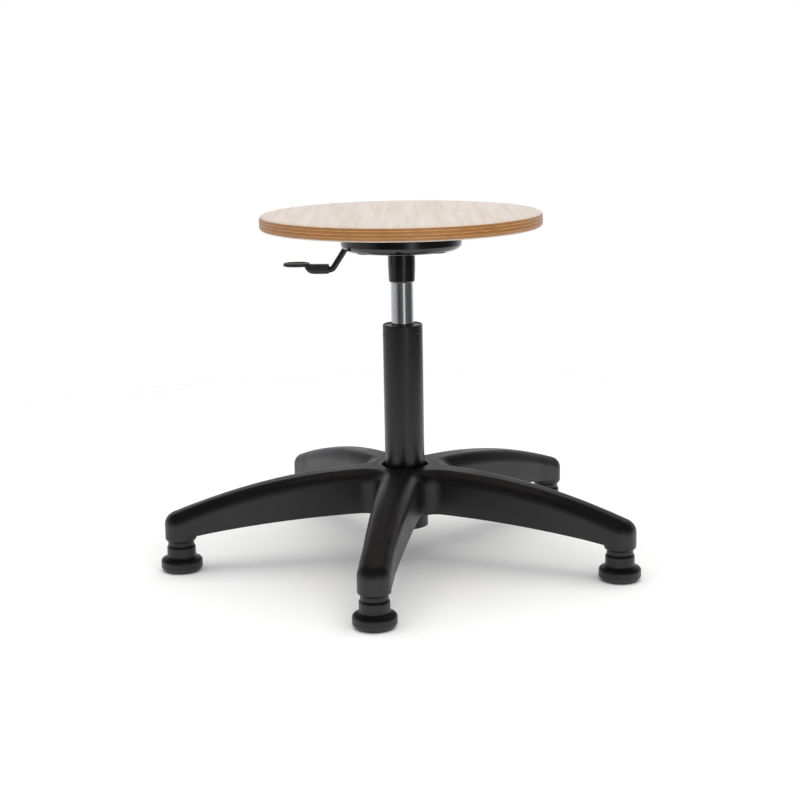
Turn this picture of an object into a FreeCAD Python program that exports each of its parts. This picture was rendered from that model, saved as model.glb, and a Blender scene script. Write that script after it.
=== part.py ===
# Adjustable swivel stool: plywood seat on a gas-lift column with a five-arm base.
# Millimetres. +Z is up, and the origin is on the floor, on the column's axis.
# The seat stands part-way up its travel. The release lever points along -X.
import FreeCAD, Part

import math
import os
import re

import Sketcher
from FreeCAD import Vector

# ---------------------------------------------------------------- driving dimensions
SIZES = {
    # seat
    "seat_dia": 350.0,
    "seat_thickness": 18.0,
    "seat_edge_round": 5.0,
    "seat_height": 438.0,
    # pressed pan under the seat, with four drawn wells for the screws
    "pan_dia": 151.0,
    "pan_depth": 27.5,
    "pan_sheet": 2.5,
    "pan_corner": 9.0,
    "pan_slot_width": 13.0,
    "pan_slot_inset": 20.0,
    "pan_slot_top": 15.0,
    "well_mouth": 28.0,
    "well_top": 22.0,
    "screw_circle": 54.0,
    "screw_dia": 6.0,
    "screw_head": 12.0,
    "screw_head_height": 3.6,
    "screw_hex": 4.0,
    "screw_grip": 12.0,
    "washer_dia": 14.0,
    "washer_thickness": 1.6,
    "insert_dia": 9.0,
    "insert_flange": 12.0,
    "insert_flange_thickness": 1.4,
    # tapered socket and gas spring
    "socket_wall": 3.0,
    "socket_foot_wall": 2.2,
    "socket_reach": 40.5,
    "socket_rise": 1.0,
    "cylinder_dia": 28.0,
    "cylinder_wall": 1.5,
    "cylinder_proud": 1.5,
    "cone_slope": 0.025,
    "oil_gap": 1.3,
    "pressure_wall": 1.0,
    "rod_dia": 10.0,
    "spigot_dia": 8.0,
    "guide_height": 16.0,
    "seal_height": 5.0,
    "piston_height": 14.0,
    "seal_groove": 2.4,
    "seal_groove_depth": 1.8,
    "valve_nose": 8.0,
    "valve_seal_above": 12.0,
    "rivet_height": 3.0,
    "lift_down": 45.0,
    "lift_up": 105.0,
    "stop_gap": 3.0,
    # release button, its pin, and the lever
    "button_dia": 8.0,
    "button_proud": 4.5,
    "button_dome": 12.0,
    "button_skirt": 12.0,
    "valve_pin_dia": 3.0,
    "lever_rod_dia": 7.5,
    "lever_bend": 8.0,
    "lever_reach_in": 22.0,
    "pivot_dia": 5.0,
    "pivot_rise": 7.0,
    "yoke_sheet": 2.0,
    "bracket_sheet": 2.5,
    "paddle_drop": 24.0,
    "paddle_length": 57.0,
    "paddle_width": 29.0,
    "paddle_blade": 4.2,
    "paddle_wall": 1.2,
    "paddle_grip": 20.0,
    # column
    "column_dia": 50.0,
    "column_wall": 2.0,
    "column_top": 299.0,
    "column_floor": 3.0,
    "column_below_hub": 2.0,
    "bush_length": 95.0,
    "bush_recess": 1.0,
    "stake_depth": 1.2,
    "stake_ball": 4.2,
    "stake_below_top": 12.0,
    "first_stake_angle": -40.0,
    # thrust bearing and buffer at the column's foot
    "race_dia": 30.0,
    "race_thickness": 2.0,
    "ball_dia": 4.762,
    "ball_circle": 11.0,
    "ball_count": 12,
    "cage_thickness": 2.6,
    "buffer_dia": 24.0,
    "buffer_height": 12.0,
    "clip_thickness": 1.5,
    "clip_groove_depth": 0.9,
    # five-arm base
    "hub_top": 119.0,
    "hub_flat": 40.0,
    "hub_recess_width": 4.5,
    "hub_recess_floor_width": 3.8,
    "hub_recess_depth": 6.5,
    "hub_sleeve_wall": 3.5,
    "hub_foot": 40.0,
    "foot_circle": 286.4,
    "arm_end_top": 77.0,
    "arm_root_under": 64.8,
    "arm_end_under": 44.5,
    "arm_root_at": 50.0,
    "arm_root_half": 25.2,
    "arm_end_at": 250.0,
    "arm_end_half": 18.9,
    "arm_flare_round": 90.0,
    "arm_shoulder": 15.0,
    "junction_round": 21.5,
    "first_arm_angle": -97.35,
    "base_wall": 4.5,
    "base_skin": 5.0,
    "rib_thickness": 3.0,
    "rib_pitch": 40.0,
    "crease_drop": 13.5,
    "crease_depth": 0.8,
    "crease_height": 1.3,
    "foot_boss": 19.3,
    "foot_boss_round": 17.6,
    "foot_boss_under": 38.0,
    "foot_boss_chamfer": 3.0,
    # glides
    "glide_dia": 51.6,
    "glide_sole_dia": 44.0,
    "glide_rim": 17.0,
    "glide_neck_dia": 35.6,
    "glide_flare": 1.4,
    "glide_collar_dia": 32.4,
    "stem_dia": 11.0,
    "stem_in_glide": 26.0,
    "stem_in_boss": 28.0,
    "ring_width": 4.0,
    "ring_depth": 0.9,
    # clearances
    "running_gap": 0.05,
    "fixed_gap": 0.02,
    "free_gap": 0.3,
}
ARMS = 5
SCREWS = 4
STAKES = 3

# ---------------------------------------------------------------- places worked out from the sizes
SEAT_UNDER = "(seat_height - seat_thickness)"
PAN_BOTTOM = f"({SEAT_UNDER} - pan_depth)"
PAN_FLOOR = f"({PAN_BOTTOM} + pan_sheet)"
SOCKET_FOOT = f"({PAN_BOTTOM} - socket_reach)"
SOCKET_TOP = f"({PAN_FLOOR} + socket_rise)"
CYLINDER_TOP = f"({SOCKET_TOP} + cylinder_proud)"
CYLINDER_TOP_R = f"(cylinder_dia / 2 - cone_slope * ({CYLINDER_TOP} - {SOCKET_FOOT}))"
CYLINDER_BORE = "(cylinder_dia / 2 - cylinder_wall)"
BUTTON_TOP = f"({CYLINDER_TOP} + button_proud)"
YOKE_UNDER = f"({BUTTON_TOP} + free_gap)"
PIVOT_Z = f"({YOKE_UNDER} + pivot_rise)"
PIVOT_X = "(-lever_reach_in)"
SCREW_X = "(screw_circle * cos(45))"
SCREW_Y = "(screw_circle * sin(45))"
WELL_SEAT = f"({SEAT_UNDER} - pan_sheet)"

SOCKET_R = "(cylinder_dia / 2 + socket_wall)"
PRESSURE_R = f"({CYLINDER_BORE} - oil_gap)"
PRESSURE_BORE = f"({PRESSURE_R} - pressure_wall)"
PISTON_R = f"({PRESSURE_BORE} - running_gap)"
HUB_SLEEVE_R = "(column_dia / 2 + hub_sleeve_wall)"

COLUMN_FOOT = "(hub_foot - column_below_hub)"
COLUMN_BORE = "(column_dia / 2 - column_wall)"
TAPER_TOP = "(hub_top - hub_recess_depth)"
TAPER_FOOT_R = f"(column_dia / 2 - cone_slope * ({TAPER_TOP} - {COLUMN_FOOT}))"
LOWER_RACE = f"({COLUMN_FOOT} + column_floor)"
BALL_FOOT = f"({LOWER_RACE} + race_thickness + running_gap / 2)"
BALL_MIDDLE = f"({BALL_FOOT} + ball_dia / 2)"
UPPER_RACE = f"({BALL_FOOT} + ball_dia + running_gap / 2)"
BUFFER_FOOT = f"({UPPER_RACE} + race_thickness)"
BUFFER_TOP = f"({BUFFER_FOOT} + buffer_height)"
CYLINDER_FOOT = f"({BUFFER_TOP} + stop_gap + lift_down)"
GUIDE_FOOT = f"({CYLINDER_FOOT} + cylinder_wall)"
SEAL_FOOT = f"({GUIDE_FOOT} + guide_height)"
SEAL_TOP = f"({SEAL_FOOT} + seal_height)"
PISTON_FOOT = f"({SEAL_TOP} + lift_up + stop_gap)"
PISTON_TOP = f"({PISTON_FOOT} + piston_height)"
ROD_TOP = f"({PISTON_TOP} + rivet_height)"
VALVE_FOOT = f"({ROD_TOP} + lift_down + stop_gap)"
CLIP_TOP = f"({COLUMN_FOOT} - running_gap - washer_thickness - running_gap)"
ROD_FOOT = f"({CLIP_TOP} - 2 * clip_thickness)"

ARM_END = "(foot_circle + foot_boss)"
ARM_SLOPE = "((arm_end_half - arm_root_half) / (arm_end_at - arm_root_at))"
CROWN_R = "(((foot_circle - hub_flat)^2 + (hub_top - arm_end_top)^2) / (2 * (hub_top - arm_end_top)))"
UNDER_R = ("(((foot_circle - hub_flat)^2 + (arm_root_under - arm_end_under)^2)"
           " / (2 * (arm_root_under - arm_end_under)))")


def crown(radius, depth="0"):
    """Height of the arms' crown, or of the surface a depth below it, at a radius from the axis."""
    return f"(hub_top - {CROWN_R} + sqrt(({CROWN_R} - {depth})^2 - ({radius} - hub_flat)^2))"


def under(radius):
    """Height of the arms' lower edge at a radius from the axis."""
    return f"(arm_root_under - {UNDER_R} + sqrt({UNDER_R}^2 - ({radius} - hub_flat)^2))"


# ---------------------------------------------------------------- document and sheet
doc = FreeCAD.newDocument("swivel_stool")
sheet = doc.addObject("Spreadsheet::Sheet", "Sizes")
for row, (alias, size) in enumerate(SIZES.items(), start=1):
    sheet.set(f"A{row}", alias)
    sheet.set(f"B{row}", str(size))
    sheet.setAlias(f"B{row}", alias)
doc.recompute()


def bound(text):
    """An expression in the sheet's aliases, written out for setExpression."""
    return re.sub(r"[a-z_]\w*", lambda word: f"Sizes.{word[0]}" if word[0] in SIZES else word[0], text)


def value(text):
    """The expression's number at the sheet's present sizes."""
    return float(sheet.evalExpression(bound(text)))


# ---------------------------------------------------------------- sketch and feature helpers
def new_body(label, several=False):
    body = doc.addObject("PartDesign::Body", label)
    body.Label = label
    body.AllowCompound = several
    return body


def origin_feature(body, role):
    return next(feature for feature in body.Origin.OriginFeatures if feature.Role == role)


def new_sketch(body, name, plane, shift=("0", "0", "0")):
    """A sketch on one of the body's own planes. shift is in the sketch's own directions."""
    sketch = body.newObject("Sketcher::SketchObject", f"{body.Label}_{name}")
    sketch.AttachmentSupport = [(origin_feature(body, plane), "")]
    sketch.MapMode = "FlatFace"
    for axis, text in zip("xyz", shift):
        if text != "0":
            sketch.setExpression(f"AttachmentOffset.Base.{axis}", bound(text))
    return sketch


def dimension(sketch, constraint, text):
    index = sketch.addConstraint(constraint)
    sketch.setExpression(f"Constraints[{index}]", bound(text))


def pin(sketch, geometry, end, x, y):
    """Holds a point of the sketch at two dimensions from the sketch's origin."""
    dimension(sketch, Sketcher.Constraint("DistanceX", -1, 1, geometry, end, value(x)), x)
    dimension(sketch, Sketcher.Constraint("DistanceY", -1, 1, geometry, end, value(y)), y)


def circle(sketch, x, y, radius):
    centre = Vector(value(x), value(y), 0)
    index = sketch.addGeometry(Part.Circle(centre, Vector(0, 0, 1), value(radius)), False)
    pin(sketch, index, 3, x, y)
    dimension(sketch, Sketcher.Constraint("Radius", index, value(radius)), radius)
    return sketch


def short_arc(sketch, centre, first, last):
    """Adds the short arc from first to last. Returns its index and which ends lie at first and last."""
    start = math.atan2(first.y - centre.y, first.x - centre.x)
    stop = math.atan2(last.y - centre.y, last.x - centre.x)
    forward = (stop - start) % (2 * math.pi) < math.pi
    low, high = (start, stop) if forward else (stop, start)
    if high < low:
        high += 2 * math.pi
    ring = Part.Circle(centre, Vector(0, 0, 1), (first - centre).Length)
    index = sketch.addGeometry(Part.ArcOfCircle(ring, low, high), False)
    return (index, 1, 2) if forward else (index, 2, 1)


def outline(sketch, corners, closed=True):
    """Draws a fully dimensioned outline through corners.

    A corner is (x, y), (x, y, "round", radius) for a rounded corner, or (x, y, "arc", radius, side)
    where the stretch that follows it is an arc whose centre lies to the left (1) or right (-1).
    """
    points = [Vector(value(corner[0]), value(corner[1]), 0) for corner in corners]
    count = len(corners)
    starts = list(points)
    stops = points[1:] + points[:1]
    centres = {}
    for i, corner in enumerate(corners):
        if corner[2:3] == ("round",):
            back = (points[i - 1] - points[i]).normalize()
            ahead = (points[(i + 1) % count] - points[i]).normalize()
            half = back.getAngle(ahead) / 2
            reach = value(corner[3]) / math.tan(half)
            stops[i - 1] = points[i] + back * reach
            starts[i] = points[i] + ahead * reach
            centres[i] = points[i] + (back + ahead).normalize() * (value(corner[3]) / math.sin(half))
    stretches = []
    for i, corner in enumerate(corners if closed else corners[:-1]):
        if corner[2:3] == ("arc",):
            chord = stops[i] - starts[i]
            normal = Vector(-chord.y, chord.x, 0).normalize()
            height = math.sqrt(value(corner[3]) ** 2 - chord.Length ** 2 / 4)
            centre = (starts[i] + stops[i]) * 0.5 + normal * height * corner[4]
            stretches.append(short_arc(sketch, centre, starts[i], stops[i]))
            dimension(sketch, Sketcher.Constraint("Radius", stretches[-1][0], value(corner[3])), corner[3])
        else:
            line = sketch.addGeometry(Part.LineSegment(starts[i], stops[i]), False)
            stretches.append((line, 1, 2))
    for i, corner in enumerate(corners):
        if not closed and i in (0, count - 1):
            line, first, last = stretches[0] if i == 0 else stretches[-1]
            pin(sketch, line, first if i == 0 else last, *corner[:2])
            continue
        before, after = stretches[i - 1], stretches[i]
        if i in centres:
            arc, first, last = short_arc(sketch, centres[i], stops[i - 1], starts[i])
            sketch.addConstraint(Sketcher.Constraint("Tangent", before[0], before[2], arc, first))
            sketch.addConstraint(Sketcher.Constraint("Tangent", after[0], after[1], arc, last))
            dimension(sketch, Sketcher.Constraint("Radius", arc, value(corner[3])), corner[3])
            sharp = sketch.addGeometry(Part.Point(points[i]), True)
            sketch.addConstraint(Sketcher.Constraint("PointOnObject", sharp, 1, before[0]))
            sketch.addConstraint(Sketcher.Constraint("PointOnObject", sharp, 1, after[0]))
            pin(sketch, sharp, 1, *corner[:2])
        else:
            sketch.addConstraint(Sketcher.Constraint("Coincident", before[0], before[2], after[0], after[1]))
            pin(sketch, after[0], after[1], *corner[:2])
    return sketch


def rectangle(sketch, x_low, x_high, y_low, y_high, *rounding):
    corners = [(x_low, y_low), (x_high, y_low), (x_high, y_high), (x_low, y_high)]
    return outline(sketch, [corner + rounding for corner in corners])


def feature(body, kind, name, **settings):
    """Adds a PartDesign feature. A setting given as text in the sheet's aliases is bound to the sheet."""
    added = body.newObject(f"PartDesign::{kind}", f"{body.Label}_{name}")
    for setting, content in settings.items():
        if isinstance(content, str) and setting in ("Length", "Radius", "Size", "Angle", "Height", "Radius1",
                                                    "Radius2", "Circumradius"):
            added.setExpression(setting, bound(content))
        else:
            setattr(added, setting, content)
    return added


def pad(body, name, sketch, length, **settings):
    return feature(body, "Pad", name, Profile=sketch, Length=length, **settings)


def pocket_through(body, name, sketch):
    """Cuts the sketch through the whole body, both ways."""
    return feature(body, "Pocket", name, Profile=sketch, Type="ThroughAll", Midplane=True)


def spin(body, kind, name, corners, shift=("0", "0", "0")):
    """Revolves or grooves an outline of (radius, height) corners about its own vertical axis."""
    sketch = outline(new_sketch(body, f"{name}_profile", "XZ_Plane", shift), corners)
    return feature(body, kind, name, Profile=sketch, ReferenceAxis=(sketch, ["V_Axis"]), Angle=360)


def polar(body, name, originals, count):
    """Repeats features about the body's vertical axis."""
    added = feature(body, "PolarPattern", name, Originals=originals, Occurrences=int(count), Angle=360,
                    Axis=(origin_feature(body, "Z_Axis"), [""]))
    body.Tip = added
    return added


def edges_where(base, test):
    """Names of the feature's edges whose middle point and edge pass the test."""
    doc.recompute()
    names = []
    for number, edge in enumerate(base.Shape.Edges, start=1):
        middle = edge.valueAt((edge.FirstParameter + edge.LastParameter) / 2)
        if test(middle, edge):
            names.append(f"Edge{number}")
    return names


def turned(label, corners):
    """A piece turned about the column's axis, from (radius, height) corners."""
    body = new_body(label)
    spin(body, "Revolution", "turning", corners)
    return body


def ring(label, inner, outer, low, high, edge="0.3"):
    """A turned ring with its outer edges rounded."""
    corners = [(inner, low), (outer, low, "round", edge), (outer, high, "round", edge), (inner, high)]
    return turned(label, corners)


# ---------------------------------------------------------------- five-arm base
def arm_gap(inset="0"):
    """Outline of the space between the first two arms, grown by inset into the arms."""
    half_boss = f"(foot_boss - {inset})"
    half_end = f"(arm_end_half - {inset})"
    half_root = f"(arm_root_half - {inset})"
    end = f"({ARM_END} - {inset})"
    meet = f"(({half_root} - {ARM_SLOPE} * arm_root_at) / (tan(180 / {ARMS}) - {ARM_SLOPE}))"
    side = [
        (end, "-1"),
        (end, half_boss, "round", f"(foot_boss_round - {inset})"),
        ("(foot_circle - foot_boss)", half_boss, "round", "arm_flare_round"),
        ("arm_end_at", half_end, "round", "arm_flare_round"),
    ]
    far = ("(foot_circle + 6 * foot_boss)", "-1")
    turn = f"(360 / {ARMS})"

    def mirrored(corner):
        x, y = corner[:2]
        return (f"({x} * cos{turn} + {y} * sin{turn})", f"({x} * sin{turn} - {y} * cos{turn})", *corner[2:])

    root = (meet, f"({meet} * tan(180 / {ARMS}))", "round", f"(junction_round + {inset})")
    return side + [root] + [mirrored(corner) for corner in reversed(side)] + [mirrored(far), far]


def make_star_blank():
    """The base's outer form: a crowned disc cut into five arms, with hub sleeve and foot bosses."""
    body = new_body("star_blank")
    rim = f"({ARM_END} + foot_boss / 2)"
    spin(body, "Revolution", "dome", [
        ("0", "hub_top"), ("hub_flat", "hub_top", "arc", CROWN_R, -1), (rim, crown(rim)),
        (rim, under(rim), "arc", UNDER_R, 1), ("hub_flat", "arm_root_under"),
        (HUB_SLEEVE_R, "arm_root_under"), (HUB_SLEEVE_R, "hub_foot"), ("0", "hub_foot")])
    gap_plan = outline(new_sketch(body, "gap_plan", "XY_Plane"), arm_gap())
    gap = pocket_through(body, "gap", gap_plan)
    gaps = polar(body, "gaps", [gap], ARMS)

    crown_r, hub_flat, hub_top = value(CROWN_R), value("hub_flat"), value("hub_top")

    def on_crown_outline(middle, edge):
        radius = math.hypot(middle.x, middle.y)
        if radius < hub_flat + 1:
            return False
        height = hub_top - crown_r + math.sqrt(crown_r ** 2 - (radius - hub_flat) ** 2)
        return abs(middle.z - height) < 0.05

    shoulders = feature(body, "Fillet", "shoulders", Base=(gaps, edges_where(gaps, on_crown_outline)),
                        Radius="arm_shoulder")
    doc.recompute()

    boss_plan = circle(new_sketch(body, "boss_plan", "XY_Plane", ("0", "0", "foot_boss_under")),
                       "foot_circle", "0", "(foot_boss - fixed_gap)")
    boss = pad(body, "boss", boss_plan, "(arm_end_under - foot_boss_under + base_wall)")
    hole_plan = circle(new_sketch(body, "stem_hole_plan", "XY_Plane", ("0", "0", "foot_boss_under")),
                       "foot_circle", "0", "(stem_dia / 2 + running_gap)")
    hole = feature(body, "Pocket", "stem_hole", Profile=hole_plan, Length="(stem_in_boss + 1)", Reversed=True)
    bevel_at = "(foot_boss - foot_boss_chamfer)"
    beyond = "(foot_boss + 2)"
    bevel = spin(body, "Groove", "bevel", [
        (bevel_at, "foot_boss_under"), (beyond, "foot_boss_under + foot_boss_chamfer + 2"),
        (beyond, "foot_boss_under - 1"), (bevel_at, "foot_boss_under - 1")], ("foot_circle", "0", "0"))
    polar(body, "feet", [boss, hole, bevel], ARMS)
    recess = "column_dia / 2"
    taper_low = f"(column_dia / 2 + fixed_gap - cone_slope * ({TAPER_TOP} - {COLUMN_FOOT}))"
    spin(body, "Groove", "column_bore", [
        ("0", "hub_top + 1"), (f"{recess} + hub_recess_width", "hub_top + 1"),
        (f"{recess} + hub_recess_width", "hub_top - 1"),
        (f"{recess} + hub_recess_floor_width", TAPER_TOP, "round", "1.2"),
        (f"{recess} + fixed_gap", TAPER_TOP),
        (taper_low, COLUMN_FOOT), ("0", COLUMN_FOOT)])
    spin(body, "Groove", "hub_line", [
        ("hub_flat - 1.4", "hub_top + 0.1"), ("hub_flat - 0.6", "hub_top + 0.1"),
        ("hub_flat - 1", "hub_top - 0.5")])
    return body


def make_crease():
    """The narrow step under the arms' shoulders, as the material that it takes away."""
    body = new_body("star_crease")
    plan = outline(new_sketch(body, "plan", "XY_Plane"), arm_gap("crease_depth"))
    space = pad(body, "space", plan, "(hub_top + 1)")
    polar(body, "spaces", [space], ARMS)
    far = "(foot_circle + 7 * foot_boss)"
    near = "hub_flat / 2"
    low = "(crease_drop + crease_height)"
    spin(body, "Groove", "above", [
        (near, "hub_top - crease_drop"), ("hub_flat", "hub_top - crease_drop", "arc",
                                          f"({CROWN_R} - crease_drop)", -1),
        (far, crown(far, "crease_drop")), (far, "hub_top + 2"), (near, "hub_top + 2")])
    spin(body, "Groove", "below", [
        (near, f"hub_top - {low}"), ("hub_flat", f"hub_top - {low}", "arc", f"({CROWN_R} - {low})", -1),
        (far, crown(far, low)), (far, "-1"), (near, "-1")])
    return body


def make_cavities():
    """The hollows under the five arms, divided by their ribs."""
    body = new_body("star_cavities", several=True)
    start = f"({HUB_SLEEVE_R} + base_wall)"
    stop = "(foot_circle - foot_boss)"
    half_start = f"(arm_root_half + {ARM_SLOPE} * ({start} - arm_root_at) - base_wall)"
    half_stop = f"(arm_root_half + {ARM_SLOPE} * ({stop} - arm_root_at) - base_wall)"
    plan = outline(new_sketch(body, "plan", "XY_Plane"), [
        (start, f"(-{half_start})", "round", "base_wall"), (stop, f"(-{half_stop})", "round", "base_wall"),
        (stop, half_stop, "round", "base_wall"), (start, half_start, "round", "base_wall")])
    block = pad(body, "block", plan, "(hub_top + 1)")
    far = "(foot_circle + foot_boss)"
    top = spin(body, "Groove", "under_skin", [
        ("1", "hub_top - base_skin"),
        ("hub_flat", "hub_top - base_skin", "arc", f"({CROWN_R} - base_skin)", -1),
        (far, crown(far, "base_skin")), (far, "hub_top + 2"), ("1", "hub_top + 2")])
    long_plan = rectangle(new_sketch(body, "long_rib_plan", "XY_Plane"),
                          "1", far, "(-rib_thickness / 2)", "(rib_thickness / 2)")
    cuts = [pocket_through(body, "long_rib", long_plan)]
    span = value(f"{stop} - {start}")
    for number in range(1, int(span / value("rib_pitch")) + 1):
        middle = f"({start} + {number} * rib_pitch)"
        rib_plan = rectangle(new_sketch(body, f"rib_plan_{number}", "XY_Plane"),
                             f"({middle} - rib_thickness / 2)", f"({middle} + rib_thickness / 2)",
                             "(-arm_root_half)", "arm_root_half")
        cuts.append(pocket_through(body, f"rib_{number}", rib_plan))
    polar(body, "arms", [block, top] + cuts, ARMS)
    return body


def make_star_base():
    creased = doc.addObject("Part::Cut", "star_creased")
    creased.Base = make_star_blank()
    creased.Tool = make_crease()
    base = doc.addObject("Part::Cut", "star_base")
    base.Base = creased
    base.Tool = make_cavities()
    base.Refine = True
    base.setExpression("Placement.Rotation.Angle", bound("first_arm_angle"))
    return base


def at_foot(body, number):
    """Places a piece, made on the Z axis, under one of the arms."""
    angle = f"(first_arm_angle + {number} * 360 / {ARMS})"
    body.setExpression("Placement.Base.x", bound(f"foot_circle * cos({angle})"))
    body.setExpression("Placement.Base.y", bound(f"foot_circle * sin({angle})"))
    body.setExpression("Placement.Rotation.Angle", bound(angle))
    return body


def make_glide(number):
    stem_foot = "(foot_boss_under - stem_in_glide)"
    return at_foot(turned(f"glide_{number + 1}", [
        ("0", "0"), ("glide_sole_dia / 2", "0", "round", "1.5"),
        ("glide_dia / 2", "glide_rim * 0.3", "round", "3"),
        ("glide_dia / 2", "glide_rim - 1.5", "round", "4.5"),
        ("glide_neck_dia / 2 + glide_flare", "glide_rim + 0.6", "round", "1.2"),
        ("glide_neck_dia / 2", "glide_rim + 1.6", "round", "0.8"),
        ("glide_neck_dia / 2", "foot_boss_under - 7.5", "round", "1"),
        ("glide_collar_dia / 2", "foot_boss_under - 4.5"), ("glide_collar_dia / 2", "foot_boss_under"),
        ("stem_dia / 2 + fixed_gap", "foot_boss_under"), ("stem_dia / 2 + fixed_gap", stem_foot),
        ("0", stem_foot)]), number)


def make_stem(number):
    low = "(foot_boss_under - stem_in_glide)"
    high = "(foot_boss_under + stem_in_boss)"
    groove = f"({high} - 3 * ring_width)"
    return at_foot(turned(f"glide_stem_{number + 1}", [
        ("0", low), ("stem_dia / 2", low), ("stem_dia / 2", groove),
        ("stem_dia / 2 - ring_depth", groove), ("stem_dia / 2 - ring_depth", f"({groove} + ring_width)"),
        ("stem_dia / 2", f"({groove} + ring_width)"), ("stem_dia / 2", f"({high} - 2)"),
        ("stem_dia / 2 - 2", high), ("0", high)]), number)


def make_stem_rings():
    """Split spring rings that grip the stems in the bosses, one in each arm."""
    body = new_body("stem_rings", several=True)
    low = "(foot_boss_under + stem_in_boss - 3 * ring_width + running_gap)"
    high = "(foot_boss_under + stem_in_boss - 2 * ring_width - running_gap)"
    inner = "(stem_dia / 2 - ring_depth + running_gap)"
    band = spin(body, "Revolution", "band", [
        (inner, low), ("stem_dia / 2", low, "round", "0.2"), ("stem_dia / 2", high, "round", "0.2"),
        (inner, high)], ("foot_circle", "0", "0"))
    slit_plan = rectangle(new_sketch(body, "slit_plan", "XY_Plane"),
                          "foot_circle", "(foot_circle + stem_dia)", "-0.8", "0.8")
    slit = feature(body, "Pocket", "slit", Profile=slit_plan, Type="ThroughAll", Midplane=True)
    polar(body, "rings", [band, slit], ARMS)
    body.setExpression("Placement.Rotation.Angle", bound("first_arm_angle"))
    return body


# ---------------------------------------------------------------- column and thrust bearing
def make_column_tube():
    """Outer column: a tube with its foot tapered into the hub and closed, staked near its top."""
    body = new_body("column_tube")
    hole = "(spigot_dia / 2 + 1)"
    spin(body, "Revolution", "tube", [
        (hole, COLUMN_FOOT), (TAPER_FOOT_R, COLUMN_FOOT, "round", "1.5"), ("column_dia / 2", TAPER_TOP),
        ("column_dia / 2", "column_top", "round", "column_wall * 0.45"),
        (COLUMN_BORE, "column_top", "round", "column_wall * 0.45"), (COLUMN_BORE, TAPER_TOP),
        (f"({TAPER_FOOT_R} - column_wall)", LOWER_RACE), (hole, LOWER_RACE)])
    stake = feature(body, "SubtractiveSphere", "stake", Radius="stake_ball")
    stake.setExpression("Placement.Base.x", bound("column_dia / 2 - stake_depth + stake_ball"))
    stake.setExpression("Placement.Base.z", bound("column_top - stake_below_top"))
    polar(body, "stakes", [stake], STAKES)
    body.setExpression("Placement.Rotation.Angle", bound("first_stake_angle"))
    return body


def make_guide_bush():
    """Long plastic bush in the column's upper end. The gas cylinder slides and turns in it."""
    top = "(column_top - bush_recess)"
    foot = f"({top} - bush_length)"
    bore = "(cylinder_dia / 2 + running_gap)"
    outer = f"({COLUMN_BORE} - fixed_gap)"
    groove = "(column_top - stake_below_top)"
    relief = f"({outer} - 1.5)"
    middle = f"({foot} + bush_length / 2)"
    return turned("guide_bush", [
        (bore, foot), (outer, foot, "round", "1"), (outer, f"({groove} - stake_ball)"),
        (relief, f"({groove} - stake_ball)"), (relief, f"({groove} + stake_ball)"),
        (outer, f"({groove} + stake_ball)"), (outer, top), (f"({bore} + 1.2)", top), (bore, f"({top} - 1.2)"),
        (bore, f"({middle} + bush_length / 6)"), (f"({bore} + 0.8)", f"({middle} + bush_length / 6 - 0.8)"),
        (f"({bore} + 0.8)", f"({middle} - bush_length / 6 + 0.8)"), (bore, f"({middle} - bush_length / 6)")])


def make_ball_cage():
    body = new_body("ball_cage")
    half = "(cage_thickness / 2)"
    spin(body, "Revolution", "ring", [
        ("spigot_dia / 2 + 2 * free_gap", f"{BALL_MIDDLE} - {half}"),
        ("race_dia / 2 - free_gap", f"{BALL_MIDDLE} - {half}"),
        ("race_dia / 2 - free_gap", f"{BALL_MIDDLE} + {half}"),
        ("spigot_dia / 2 + 2 * free_gap", f"{BALL_MIDDLE} + {half}")])
    hole_plan = circle(new_sketch(body, "hole_plan", "XY_Plane"), "ball_circle", "0",
                       "(ball_dia / 2 + running_gap)")
    hole = pocket_through(body, "hole", hole_plan)
    polar(body, "holes", [hole], SIZES["ball_count"])
    return body


def make_balls():
    body = new_body("bearing_balls", several=True)
    ball = feature(body, "AdditiveSphere", "ball", Radius="ball_dia / 2")
    ball.setExpression("Placement.Base.x", bound("ball_circle"))
    ball.setExpression("Placement.Base.z", bound(BALL_MIDDLE))
    polar(body, "balls", [ball], SIZES["ball_count"])
    return body


# ---------------------------------------------------------------- rod and what turns with it
def make_piston_rod():
    """Rod that carries the seat: it hangs in the column's foot by its spigot, groove and clip."""
    spigot = "(spigot_dia / 2)"
    groove = "(spigot_dia / 2 - clip_groove_depth)"
    low = f"({CLIP_TOP} - clip_thickness)"
    neck = "(rod_dia / 2 - 1.5)"
    return turned("piston_rod", [
        ("0", ROD_FOOT), (f"({spigot} - 0.7)", ROD_FOOT), (spigot, f"({ROD_FOOT} + 0.7)"), (spigot, low),
        (groove, low), (groove, CLIP_TOP), (spigot, CLIP_TOP), (spigot, BUFFER_FOOT),
        ("rod_dia / 2", BUFFER_FOOT), ("rod_dia / 2", PISTON_FOOT), (neck, PISTON_FOOT), (neck, PISTON_TOP),
        ("rod_dia / 2", PISTON_TOP), ("rod_dia / 2", ROD_TOP, "round", "1.5"), ("0", ROD_TOP)])


def make_rod_clip():
    """Horseshoe clip in the rod's groove, open at one side."""
    body = new_body("rod_clip")
    inner = "(spigot_dia / 2 - clip_groove_depth + fixed_gap)"
    spin(body, "Revolution", "band", [
        (inner, f"{CLIP_TOP} - clip_thickness + fixed_gap"),
        ("spigot_dia / 2 + 3", f"{CLIP_TOP} - clip_thickness + fixed_gap"),
        ("spigot_dia / 2 + 3", f"{CLIP_TOP} - fixed_gap"), (inner, f"{CLIP_TOP} - fixed_gap")])
    mouth = rectangle(new_sketch(body, "mouth_plan", "XY_Plane"),
                      "0", "spigot_dia + 3", f"-{inner} * 0.8", f"{inner} * 0.8")
    pocket_through(body, "mouth", mouth)
    return body


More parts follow.
